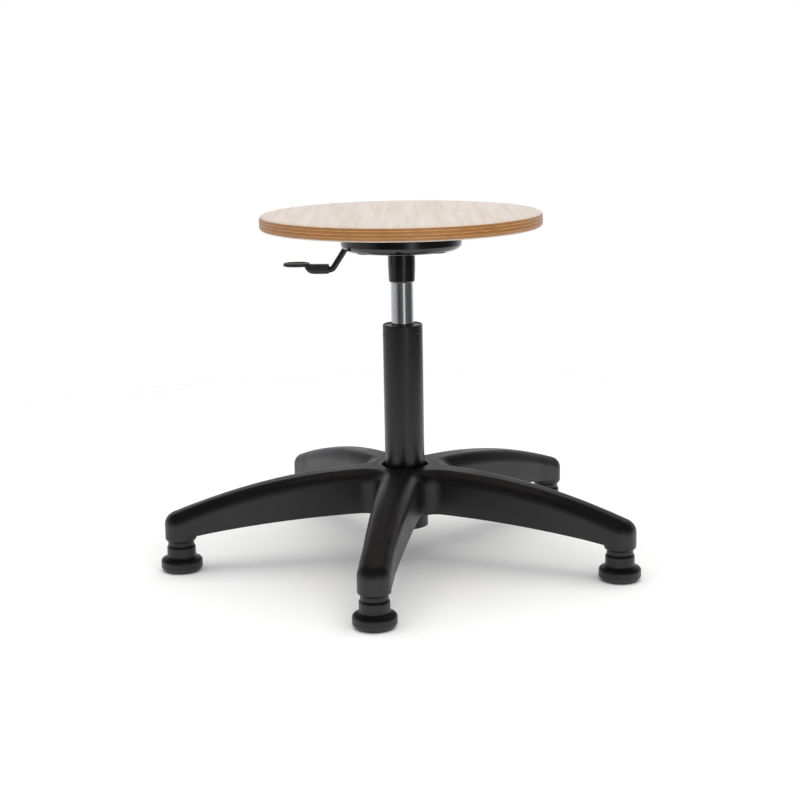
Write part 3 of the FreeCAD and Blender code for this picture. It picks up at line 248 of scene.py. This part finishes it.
def turned_aluminium():
    """Turned aluminium: silvery with fine rings from the lathe."""
    material, shader, place = start_material("turned_aluminium", Metallic=1.0)
    add_mottle(material, shader, place, linear("#C9CACC"), linear("#D9DADB"), 6 * MM, 0.24, 0.34)
    add_grain(material, shader, place, 4 * MM, 0.01 * MM, 0.5, (1, 1, 12))
    return material


def satin_paddle_plastic():
    """Moulded polypropylene: satin black with a fine grain, paler where fingers polish the rim."""
    material, shader, place = start_material("satin_paddle_plastic", IOR=1.49)
    add_mottle(material, shader, place, linear("#151517"), linear("#202023"), 15 * MM, 0.30, 0.42)
    base = shader.inputs["Base Color"].links[0].from_socket
    rim = add_node(material, "ShaderNodeNewGeometry", {})
    edge = add_node(material, "ShaderNodeMapRange", {
        "Value": rim.outputs["Pointiness"], "From Min": 0.51, "From Max": 0.56, "To Min": 0.0, "To Max": 0.5})
    polished = add_node(material, "ShaderNodeMix", {
        0: edge.outputs["Result"], 6: base, 7: linear("#3A3A3E")}, data_type="RGBA")
    feed(material, polished.outputs[2], shader.inputs["Base Color"])
    add_grain(material, shader, place, 0.8 * MM, 0.03 * MM, 0.5)
    return material


def painted_rod():
    """Black stoving paint on bright bar: satin, thin over the bends."""
    material, shader, place = start_material("painted_rod", IOR=1.5)
    add_mottle(material, shader, place, linear("#09090A"), linear("#131314"), 10 * MM, 0.26, 0.36)
    add_grain(material, shader, place, 1.4 * MM, 0.02 * MM, 0.5)
    return material


def beech_plywood(looks):
    """Lacquered beech plywood: close-grained faces, their beech tint paled and greyed by painted lacquer
    sheen, and an edge of long-grain and end-grain plies.
    """
    low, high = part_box("seat_disc")
    thickness = high[2] - low[2]
    material, shader, place = start_material("beech_plywood", IOR=1.5, Coat_Weight=0.15, Coat_Roughness=0.22)
    axes = add_node(material, "ShaderNodeSeparateXYZ", {"Vector": place})

    # face veneer: growth bands about 9 mm wide along Y, and ray flecks about 0.7 mm by 5 mm
    bands_at = add_node(material, "ShaderNodeMapping", {"Vector": place, "Scale": (1, 0.05, 1)})
    bands = add_node(material, "ShaderNodeTexNoise", {
        "Vector": bands_at.outputs["Vector"], "Scale": 1 / (9 * MM), "Detail": 5.0, "Roughness": 0.6,
        "Distortion": 0.3})
    flecks_at = add_node(material, "ShaderNodeMapping", {"Vector": place, "Scale": (1, 0.14, 1)})
    flecks = add_node(material, "ShaderNodeTexNoise", {
        "Vector": flecks_at.outputs["Vector"], "Scale": 1 / (0.9 * MM), "Detail": 2.0})
    fleck = add_node(material, "ShaderNodeMapRange", {
        "Value": flecks.outputs["Fac"], "From Min": 0.60, "From Max": 0.72, "To Min": 0.0, "To Max": 0.35})
    band = add_node(material, "ShaderNodeMapRange", {
        "Value": bands.outputs["Fac"], "From Min": 0.35, "From Max": 0.65})
    # the veneer and band tints are beech paled and greyed with painted lacquer sheen, the washed look of a
    # grazing view
    veneer = add_node(material, "ShaderNodeMix", {
        0: band.outputs["Result"], 6: looks.sheened_face_colour, 7: looks.sheened_band_colour}, data_type="RGBA")
    flecked = add_node(material, "ShaderNodeMix", {
        0: fleck.outputs["Result"], 6: veneer.outputs[2], 7: looks.fleck_colour}, data_type="RGBA")

    # plies: height over ply thickness, whose whole part tells odd from even and whose rest gives glue lines
    count = looks.ply_count
    level = add_node(material, "ShaderNodeMapRange", {
        "Value": axes.outputs["Z"], "From Min": low[2], "From Max": high[2], "To Min": 0.0, "To Max": count},
        clamp=False)
    parity = add_node(material, "ShaderNodeMath", {
        0: level.outputs["Result"], 1: 2.0}, operation="FLOORED_MODULO")
    even = add_node(material, "ShaderNodeMath", {0: parity.outputs["Value"], 1: 1.0}, operation="LESS_THAN")
    within = add_node(material, "ShaderNodeMath", {0: level.outputs["Result"]}, operation="FRACT")
    from_line = add_node(material, "ShaderNodeMath", {
        0: within.outputs["Value"], 1: 1.0}, operation="PINGPONG")
    centred = add_node(material, "ShaderNodeMath", {
        0: from_line.outputs["Value"], 1: 0.5}, operation="SUBTRACT")
    off_centre = add_node(material, "ShaderNodeMath", {0: centred.outputs["Value"]}, operation="ABSOLUTE")
    # glue lines are about 0.1 mm; drawn about 0.35 mm wide
    line_half = 0.17 * MM / (thickness / count)
    glue = add_node(material, "ShaderNodeMapRange", {
        "Value": off_centre.outputs["Value"],
        "From Min": 0.5 - 1.6 * line_half, "From Max": 0.5 - 0.6 * line_half,
        "To Min": 0.0, "To Max": 0.75})

    # the edge's own grain: long streaks round the rim on one set of plies, short pores on the other
    streaks_at = add_node(material, "ShaderNodeMapping", {"Vector": place, "Scale": (0.06, 0.06, 1)})
    streaks = add_node(material, "ShaderNodeTexNoise", {
        "Vector": streaks_at.outputs["Vector"], "Scale": 1 / (0.8 * MM), "Detail": 4.0, "Roughness": 0.65})
    pores = add_node(material, "ShaderNodeTexNoise", {
        "Vector": place, "Scale": 1 / (1.1 * MM), "Detail": 3.0, "Roughness": 0.7})
    drift = add_node(material, "ShaderNodeTexNoise", {"Vector": place, "Scale": 1 / (45 * MM), "Detail": 2.0})
    long_shade = add_node(material, "ShaderNodeMapRange", {
        "Value": streaks.outputs["Fac"], "From Min": 0.35, "From Max": 0.7, "To Min": 0.0, "To Max": 0.7})
    end_shade = add_node(material, "ShaderNodeMapRange", {
        "Value": pores.outputs["Fac"], "From Min": 0.35, "From Max": 0.65, "To Min": 0.35, "To Max": 1.0})
    shade = add_node(material, "ShaderNodeMix", {
        0: even.outputs["Value"], 2: end_shade.outputs["Result"], 3: long_shade.outputs["Result"]})
    drifted = add_node(material, "ShaderNodeMath", {
        0: shade.outputs[0], 1: drift.outputs["Fac"], 2: -0.1}, operation="MULTIPLY_ADD")
    ply = add_node(material, "ShaderNodeMix", {
        0: drifted.outputs["Value"], 6: looks.ply_light_colour, 7: looks.ply_dark_colour}, data_type="RGBA")
    ply_mix = add_node(material, "ShaderNodeMix", {
        0: shade.outputs[0], 6: ply.outputs[2], 7: looks.ply_dark_colour}, data_type="RGBA")
    lined = add_node(material, "ShaderNodeMix", {
        0: glue.outputs["Result"], 6: ply_mix.outputs[2], 7: looks.glue_colour}, data_type="RGBA")

    # outermost veneers show as face wherever the surface turns up or down
    facing = add_node(material, "ShaderNodeTexCoord", {})
    normal = add_node(material, "ShaderNodeSeparateXYZ", {"Vector": facing.outputs["Normal"]})
    upright = add_node(material, "ShaderNodeMath", {0: normal.outputs["Z"]}, operation="ABSOLUTE")
    is_face = add_node(material, "ShaderNodeMapRange", {
        "Value": upright.outputs["Value"], "From Min": 0.55, "From Max": 0.75})
    colour = add_node(material, "ShaderNodeMix", {
        0: is_face.outputs["Result"], 6: lined.outputs[2], 7: flecked.outputs[2]}, data_type="RGBA")
    feed(material, colour.outputs[2], shader.inputs["Base Color"])
    gloss = add_node(material, "ShaderNodeMapRange", {
        "Value": bands.outputs["Fac"], "From Min": 0.3, "From Max": 0.7, "To Min": 0.34, "To Max": 0.44})
    feed(material, gloss.outputs["Result"], shader.inputs["Roughness"])
    relief = add_node(material, "ShaderNodeMix", {
        0: is_face.outputs["Result"], 2: glue.outputs["Result"], 3: fleck.outputs["Result"]})
    bump = add_node(material, "ShaderNodeBump", {
        "Height": relief.outputs[0], "Distance": 0.08 * MM, "Strength": 0.4}, invert=True)
    feed(material, bump.outputs["Normal"], shader.inputs["Normal"])
    return material


def painted_floor(looks):
    """Matt white studio floor with a barely visible roller texture."""
    material, shader, place = start_material("painted_floor", IOR=1.4, Specular_IOR_Level=0.1)
    add_mottle(material, shader, place, looks.floor_colour, linear("#F4F4F2"), 300 * MM, 0.8, 0.9)
    add_grain(material, shader, place, 4 * MM, 0.05 * MM, 0.2)
    return material


# ---------------------------------------------------------------- dressing and building helpers
def dress(material, *names):
    """Gives CAD nodes a material."""
    for name in names:
        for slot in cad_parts[name].material_slots:
            slot.material = material


def new_piece(name, mesh, material, body):
    """A visual piece that rides on a body and takes the material it is given."""
    mesh.materials.append(material)
    for face in mesh.polygons:
        face.use_smooth = True
    piece = bpy.data.objects.new(name, mesh)
    bpy.context.scene.collection.objects.link(piece)
    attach(piece, body)
    return piece


def loft(name, rings, closed=False):
    """Mesh through rings of points, each ring as long as the others; closed joins the last to the first."""
    shape = bmesh.new()
    rows = [[shape.verts.new(point) for point in ring] for ring in rings]
    count = len(rows[0])
    for first, second in zip(rows, rows[1:] + rows[:1] if closed else rows[1:]):
        for i in range(count):
            j = (i + 1) % count
            shape.faces.new((first[i], first[j], second[j], second[i]))
    if not closed:
        shape.faces.new(reversed(rows[0]))
        shape.faces.new(rows[-1])
    bmesh.ops.recalc_face_normals(shape, faces=shape.faces)
    mesh = bpy.data.meshes.new(name)
    shape.to_mesh(mesh)
    shape.free()
    return mesh


def oval(x, y, z, half_x, half_y, count=72, power=2.3):
    """Points of a level superellipse."""
    points = []
    for i in range(count):
        turn = math.tau * i / count
        cosine, sine = math.cos(turn), math.sin(turn)
        points.append((x + half_x * math.copysign(abs(cosine) ** (2 / power), cosine),
                       y + half_y * math.copysign(abs(sine) ** (2 / power), sine), z))
    return points


def upright_section(x, y, half, low, high, count=40, power=3.2):
    """Points of a rounded section across X."""
    middle, rise = (low + high) / 2, (high - low) / 2
    return [(x, py, pz) for px, py, pz in
            ((0, y + a[0], middle + a[1]) for a in
             (point[:2] for point in oval(0, 0, 0, half, rise, count, power)))]


def evaluated_mesh(name, mesh, modifiers):
    """The mesh after a list of (type, settings) modifiers."""
    holder = bpy.data.objects.new(name, mesh)
    bpy.context.scene.collection.objects.link(holder)
    for kind, settings in modifiers:
        modifier = holder.modifiers.new(kind.lower(), kind)
        for setting, content in settings.items():
            setattr(modifier, setting, content)
    graph = bpy.context.evaluated_depsgraph_get()
    done = bpy.data.meshes.new_from_object(holder.evaluated_get(graph))
    done.name = name
    bpy.data.objects.remove(holder)
    return done


def centre_of(node):
    low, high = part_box(node)
    return [(a + b) / 2 for a, b in zip(low, high)]


# ---------------------------------------------------------------- settings
class StoolLooks(bpy.types.PropertyGroup):
    """Sizes and colours of the stool's finishes and of its added pieces."""

    ply_count: IntProperty(name="Plies", description="Number of plies in the seat", default=9, min=3)
    # veneer and band tints: beech colour paled and greyed with painted lacquer sheen
    sheened_face_colour: FloatVectorProperty(
        name="Veneer", description="Face veneer", subtype="COLOR", size=4, default=linear("#CFC3B8"))
    sheened_band_colour: FloatVectorProperty(
        name="Veneer bands", description="Darker growth bands", subtype="COLOR", size=4,
        default=linear("#C6B6A6"))
    fleck_colour: FloatVectorProperty(
        name="Ray flecks", description="Small ray flecks in the veneer", subtype="COLOR", size=4,
        default=linear("#A8927C"))
    ply_light_colour: FloatVectorProperty(
        name="Long grain", description="Plies cut along the grain", subtype="COLOR", size=4,
        default=linear("#C89258"))
    ply_dark_colour: FloatVectorProperty(
        name="End grain", description="Plies cut across the grain", subtype="COLOR", size=4,
        default=linear("#8E5A28"))
    glue_colour: FloatVectorProperty(
        name="Glue lines", description="Glue between plies", subtype="COLOR", size=4,
        default=linear("#54300F"))
    nylon_colour: FloatVectorProperty(
        name="Base", description="Moulded nylon of the base", subtype="COLOR", size=4,
        default=linear("#0B0A0C"))
    coat_colour: FloatVectorProperty(
        name="Column", description="Powder coat of the column", subtype="COLOR", size=4,
        default=linear("#060607"))
    floor_colour: FloatVectorProperty(
        name="Floor", description="Studio floor", subtype="COLOR", size=4, default=linear("#FAFAF9"))


class PaddleShape(bpy.types.PropertyGroup):
    """Shape of the lever's moulded paddle."""

    rim: FloatProperty(name="Rim", description="Width of the raised rim", unit="LENGTH", default=2.6 * MM)
    dish: FloatProperty(name="Dish", description="Depth of the finger dish", unit="LENGTH", default=1.7 * MM)
    edge: FloatProperty(name="Edge", description="Thickness at the rim", unit="LENGTH", default=4.2 * MM)
    blade: FloatProperty(name="Blade", description="Length of the blade", unit="LENGTH", default=33.2 * MM)
    voxel: FloatProperty(name="Fineness", description="Cell that blends the parts", unit="LENGTH",
                         default=0.4 * MM)


class StudioSetup(bpy.types.PropertyGroup):
    """Camera and light."""

    distance: FloatProperty(name="Distance", description="Camera in front of the column", unit="LENGTH",
                            default=2.1343)
    height: FloatProperty(name="Height", description="Camera above the floor", unit="LENGTH", default=0.6391)
    pitch: FloatProperty(name="Pitch", description="Camera tilt below level", subtype="ANGLE",
                         default=math.radians(11.58))
    yaw: FloatProperty(name="Yaw", description="Camera turn", subtype="ANGLE", default=math.radians(0.13))
    roll: FloatProperty(name="Roll", description="Camera roll", subtype="ANGLE", default=math.radians(-0.97))
    lens: FloatProperty(name="Lens", description="Focal length in mm", default=77.67)
    floor_radius: FloatProperty(name="Floor", description="Radius of the floor", unit="LENGTH", default=1.25)
    key_power: FloatProperty(name="Top light", description="Overhead light in watts", default=34.0)
    fill_power: FloatProperty(name="Fill light", description="Front fill light in watts", default=14.0)


# ---------------------------------------------------------------- operators
class STOOL_OT_seat(bpy.types.Operator):
    """Finish the plywood seat"""

    bl_idname = "stool.seat"
    bl_label = "Plywood Seat"

    def execute(self, context):
        dress(beech_plywood(context.scene.stool_looks), "seat_disc")
        return {"FINISHED"}


class STOOL_OT_pan(bpy.types.Operator):
    """Finish the pan and socket, and lay the weld bead round the socket"""

    bl_idname = "stool.pan"
    bl_label = "Pan and Socket"

    def execute(self, context):
        enamel = gloss_enamel()
        dress(enamel, "mount_pan", "socket_tube")
        x, y, _ = centre_of("socket_tube")
        low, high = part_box("socket_tube")
        radius = (high[0] - low[0]) / 2
        pan_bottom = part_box("mount_pan")[0][2]
        bead = 2.0 * MM
        rings = []
        steps = 288
        for i in range(steps):
            turn = math.tau * i / steps
            # the bead's ripples are about 2 mm apart
            swell = bead * (1 + 0.07 * math.sin(54 * turn) + 0.05 * math.sin(7 * turn + 1))
            rings.append([
                (x + (radius + 0.4 * MM + swell * math.cos(a)) * math.cos(turn),
                 y + (radius + 0.4 * MM + swell * math.cos(a)) * math.sin(turn),
                 pan_bottom + 0.2 * MM + swell * math.sin(a))
                for a in (math.tau * k / 14 for k in range(14))])
        new_piece("socket_weld", loft("socket_weld", rings, closed=True), enamel, "seat")
        return {"FINISHED"}


class STOOL_OT_fasteners(bpy.types.Operator):
    """Finish the seat's screws, washers and insert nuts"""

    bl_idname = "stool.fasteners"
    bl_label = "Fasteners"

    def execute(self, context):
        dress(zinc_plated_steel(), "insert_nuts", "pan_screws", "pan_washers")
        return {"FINISHED"}


class STOOL_OT_gas_spring(bpy.types.Operator):
    """Finish the gas spring's cylinder, rod and inner pieces"""

    bl_idname = "stool.gas_spring"
    bl_label = "Gas Spring"

    def execute(self, context):
        dress(chromed_steel(), "gas_cylinder", "piston_rod")
        dress(cold_drawn_steel(), "pressure_tube")
        dress(turned_aluminium(), "piston", "valve_body")
        dress(filled_ptfe(), "piston_ring", "rod_guide")
        dress(nitrile_rubber(), "rod_seal", "valve_seal")
        return {"FINISHED"}


class STOOL_OT_column(bpy.types.Operator):
    """Finish the column tube and its bush"""

    bl_idname = "stool.column"
    bl_label = "Column"

    def execute(self, context):
        dress(powder_coat(context.scene.stool_looks), "column_tube")
        dress(acetal(), "guide_bush")
        return {"FINISHED"}


class STOOL_OT_bearing(bpy.types.Operator):
    """Finish the thrust bearing, buffer, washer and clip at the column's foot"""

    bl_idname = "stool.bearing"
    bl_label = "Thrust Bearing"

    def execute(self, context):
        dress(ground_steel(), "lower_race", "upper_race", "rod_washer")
        dress(lapped_ball_steel(), "bearing_balls")
        dress(pressed_brass(), "ball_cage")
        dress(phosphated_spring_steel(), "rod_clip")
        dress(nitrile_rubber(), "rubber_buffer")
        return {"FINISHED"}


class STOOL_OT_base(bpy.types.Operator):
    """Finish the five-arm base"""

    bl_idname = "stool.base"
    bl_label = "Five-arm Base"

    def execute(self, context):
        dress(moulded_nylon(context.scene.stool_looks), "star_base")
        return {"FINISHED"}


class STOOL_OT_glides(bpy.types.Operator):
    """Finish the glides with their stems and spring rings"""

    bl_idname = "stool.glides"
    bl_label = "Glides"

    def execute(self, context):
        names = [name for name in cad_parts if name.startswith("glide_")]
        dress(moulded_polypropylene(), *(name for name in names if "stem" not in name))
        dress(cold_drawn_steel(), *(name for name in names if "stem" in name))
        dress(phosphated_spring_steel(), "stem_rings")
        return {"FINISHED"}


class STOOL_OT_lever(bpy.types.Operator):
    """Finish the release lever and mould its paddle"""

    bl_idname = "stool.lever"
    bl_label = "Release Lever"

    def execute(self, context):
        dress(painted_rod(), "lever_rod")
        dress(zinc_plated_steel(), "lever_yoke", "lever_bracket", "pivot_pin")
        dress(phosphated_spring_steel(), "pin_clip")
        shape = context.scene.stool_paddle
        low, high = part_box("lever_paddle")
        half = (high[1] - low[1]) / 2
        middle = (low[1] + high[1]) / 2
        blade_half = shape.blade / 2
        blade_x = low[0] + blade_half
        top = high[2]
        # the blade: bottom to rim, over the rim and down into the dish
        rings = []
        for share, drop in ((0.45, 1.0), (0.80, 0.98), (0.93, 0.94), (0.985, 0.82), (1.0, 0.64), (1.0, 0.30),
                            (0.985, 0.12), (0.95, 0.03), (0.90, 0.0)):
            rings.append(oval(blade_x, middle, top - drop * shape.edge, blade_half * share, half * share))
        inner = 1 - shape.rim / half
        for share, depth in ((1.0, 0.12), (0.94, 0.45), (0.8, 0.72), (0.6, 0.88), (0.35, 0.97), (0.1, 1.0)):
            rings.append(oval(blade_x, middle, top - shape.dish * depth,
                              blade_half * inner * share, half * inner * share))
        blade = loft("paddle_blade", rings)
        # the grip: from the rod's end face under the blade, its toe rising into the blade's underside
        foot = low[2]
        end = high[0]
        sections = [
            (0.0, 6.1, 1.4, 10.9), (0.5, 6.9, 0.6, 11.7), (1.6, 7.4, 0.1, 12.2), (10.0, 7.6, 0.0, 12.3),
            (19.0, 7.7, 0.1, 12.4), (23.0, 7.8, 0.7, 12.5), (26.0, 7.7, 2.2, 12.5), (28.2, 7.4, 4.6, 12.4),
            (31.0, 7.0, 9.9, 12.3), (34.0, 5.6, 10.4, 12.2)]
        grip = loft("paddle_grip", [
            upright_section(end - along * MM, middle, wide * MM, foot + under * MM, foot + over * MM)
            for along, wide, under, over in sections])
        both = bmesh.new()
        both.from_mesh(blade)
        both.from_mesh(grip)
        joined = bpy.data.meshes.new("paddle")
        both.to_mesh(joined)
        both.free()
        mesh = evaluated_mesh("lever_paddle_moulding", joined, [
            ("REMESH", {"mode": "VOXEL", "voxel_size": shape.voxel}),
            ("SMOOTH", {"factor": 0.5, "iterations": 5})])
        paddle = new_piece("lever_paddle_moulding", mesh, satin_paddle_plastic(), "lever")
        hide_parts("lever_paddle")
        return {"FINISHED"}


class STOOL_OT_button(bpy.types.Operator):
    """Finish the release button and its pin"""

    bl_idname = "stool.button"
    bl_label = "Release Button"

    def execute(self, context):
        dress(ground_steel(), "release_button", "valve_pin")
        return {"FINISHED"}


class STOOL_OT_stage(bpy.types.Operator):
    """Lay the floor, hang the lights and place the camera"""

    bl_idname = "stool.stage"
    bl_label = "Studio"

    def execute(self, context):
        scene = context.scene
        studio = scene.stool_studio
        self.lay_floor(scene, studio)
        self.set_world(scene)
        self.hang_light("top_light", (0.0, 0.1, 2.3), (2.6, 2.2), studio.key_power, (0, 0, 0.2))
        self.hang_light("front_light", (0.5, -2.2, 1.0), (1.6, 1.2), studio.fill_power, (0, 0, 0.35))
        self.place_camera(scene, studio)
        scene.view_settings.view_transform = "Standard"
        return {"FINISHED"}

    def lay_floor(self, scene, studio):
        rings = [oval(0, 0, 0, studio.floor_radius * share, studio.floor_radius * share, 128, 2)
                 for share in (1.0, 0.75, 0.5, 0.25, 0.05)]
        mesh = loft("studio_floor", rings)
        face = max(mesh.polygons, key=lambda polygon: polygon.area)
        shape = bmesh.new()
        shape.from_mesh(mesh)
        shape.faces.ensure_lookup_table()
        bmesh.ops.delete(shape, geom=[shape.faces[face.index]], context="FACES_ONLY")
        shape.to_mesh(mesh)
        shape.free()
        mesh.materials.append(painted_floor(scene.stool_looks))
        floor = bpy.data.objects.new("studio_floor", mesh)
        scene.collection.objects.link(floor)

    def set_world(self, scene):
        """White to the camera, even light to matt surfaces, a dark room with lit screens to shiny ones."""
        world = bpy.data.worlds.new("studio_room")
        world.use_nodes = True
        world.node_tree.nodes.clear()
        way = add_node(world, "ShaderNodeTexCoord", {}).outputs["Generated"]
        axes = add_node(world, "ShaderNodeSeparateXYZ", {"Vector": way})
        forward = add_node(world, "ShaderNodeMath", {0: axes.outputs["Y"], 1: -1.0}, operation="MULTIPLY")
        bearing = add_node(world, "ShaderNodeMath", {0: axes.outputs["X"], 1: forward.outputs["Value"]},
                           operation="ARCTAN2")
        share = add_node(world, "ShaderNodeMapRange", {
            "Value": bearing.outputs["Value"], "From Min": -math.pi, "From Max": math.pi})
        screens = add_node(world, "ShaderNodeValToRGB", {"Fac": share.outputs["Result"]})
        # brightness of the room by bearing, in degrees from the front, positive to the right
        room = ((-180, 1.0), (-150, 0.75), (-100, 0.50), (-76, 0.42), (-58, 0.30), (-41, 0.06), (-20, 0.07),
                (4, 0.14), (14, 0.55), (20, 1.0), (26, 0.55), (36, 0.12), (60, 0.09), (92, 0.08), (108, 0.15),
                (130, 0.55), (150, 0.80), (180, 1.0))
        ramp = screens.color_ramp
        while len(ramp.elements) < len(room):
            ramp.elements.new(0.5)
        for element, (degrees, strength) in zip(ramp.elements, room):
            element.position = degrees / 360 + 0.5
            cool = 1.04 if degrees < 0 else 1.0
            element.color = (strength, strength, min(strength * cool, 1.0), 1.0)
        low = add_node(world, "ShaderNodeMapRange", {
            "Value": axes.outputs["Z"], "From Min": 0.22, "From Max": 0.50, "To Min": 1.0, "To Max": 0.06})
        shiny = add_node(world, "ShaderNodeBackground", {
            "Color": screens.outputs["Color"], "Strength": low.outputs["Result"]})
        matt = add_node(world, "ShaderNodeBackground", {"Color": (0.98, 0.98, 1.0, 1.0), "Strength": 0.72})
        white = add_node(world, "ShaderNodeBackground", {"Color": (1.0, 1.0, 1.0, 1.0), "Strength": 1.0})
        rays = add_node(world, "ShaderNodeLightPath", {})
        indirect = add_node(world, "ShaderNodeMixShader", {
            0: rays.outputs["Is Glossy Ray"], 1: matt.outputs["Background"], 2: shiny.outputs["Background"]})
        both = add_node(world, "ShaderNodeMixShader", {
            0: rays.outputs["Is Camera Ray"], 1: indirect.outputs["Shader"], 2: white.outputs["Background"]})
        add_node(world, "ShaderNodeOutputWorld", {"Surface": both.outputs["Shader"]})
        scene.world = world

    def hang_light(self, name, place, size, power, target):
        lamp = bpy.data.lights.new(name, "AREA")
        lamp.shape = "RECTANGLE"
        lamp.size, lamp.size_y = size
        lamp.energy = power
        light = bpy.data.objects.new(name, lamp)
        light.location = place
        aim = Vector(target) - Vector(place)
        light.rotation_euler = aim.to_track_quat("-Z", "Y").to_euler()
        light.visible_glossy = False
        bpy.context.scene.collection.objects.link(light)

    def place_camera(self, scene, studio):
        data = bpy.data.cameras.new("studio_camera")
        data.lens = studio.lens
        camera = bpy.data.objects.new("studio_camera", data)
        turn = (Matrix.Rotation(studio.yaw, 4, "Z") @ Matrix.Rotation(math.pi / 2 - studio.pitch, 4, "X")
                @ Matrix.Rotation(studio.roll, 4, "Z"))
        camera.matrix_world = Matrix.Translation((0, -studio.distance, studio.height)) @ turn
        scene.collection.objects.link(camera)
        scene.camera = camera


PIECE_OPERATORS = (
    STOOL_OT_seat, STOOL_OT_pan, STOOL_OT_fasteners, STOOL_OT_gas_spring, STOOL_OT_column, STOOL_OT_bearing,
    STOOL_OT_base, STOOL_OT_glides, STOOL_OT_lever, STOOL_OT_button, STOOL_OT_stage,
)


class STOOL_PT_panel(bpy.types.Panel):
    """Lists the stool's pieces and their settings"""

    bl_idname = "STOOL_PT_panel"
    bl_label = "Swivel Stool"
    bl_space_type = "VIEW_3D"
    bl_region_type = "UI"
    bl_category = "Stool"

    def draw(self, context):
        for operator in PIECE_OPERATORS:
            self.layout.operator(operator.bl_idname)
        for group in (context.scene.stool_looks, context.scene.stool_paddle, context.scene.stool_studio):
            box = self.layout.box()
            for name in group.bl_rna.properties.keys():
                if name not in ("rna_type", "name"):
                    box.prop(group, name)


CLASSES = (StoolLooks, PaddleShape, StudioSetup, *PIECE_OPERATORS, STOOL_PT_panel)


def register():
    for item in CLASSES:
        bpy.utils.register_class(item)
    bpy.types.Scene.stool_looks = PointerProperty(type=StoolLooks)
    bpy.types.Scene.stool_paddle = PointerProperty(type=PaddleShape)
    bpy.types.Scene.stool_studio = PointerProperty(type=StudioSetup)


def unregister():
    del bpy.types.Scene.stool_looks
    del bpy.types.Scene.stool_paddle
    del bpy.types.Scene.stool_studio
    for item in reversed(CLASSES):
        bpy.utils.unregister_class(item)


def main():
    register()
    for operator in PIECE_OPERATORS:
        category, name = operator.bl_idname.split(".")
        getattr(getattr(bpy.ops, category), name)()


if __name__ == "__main__":
    main()
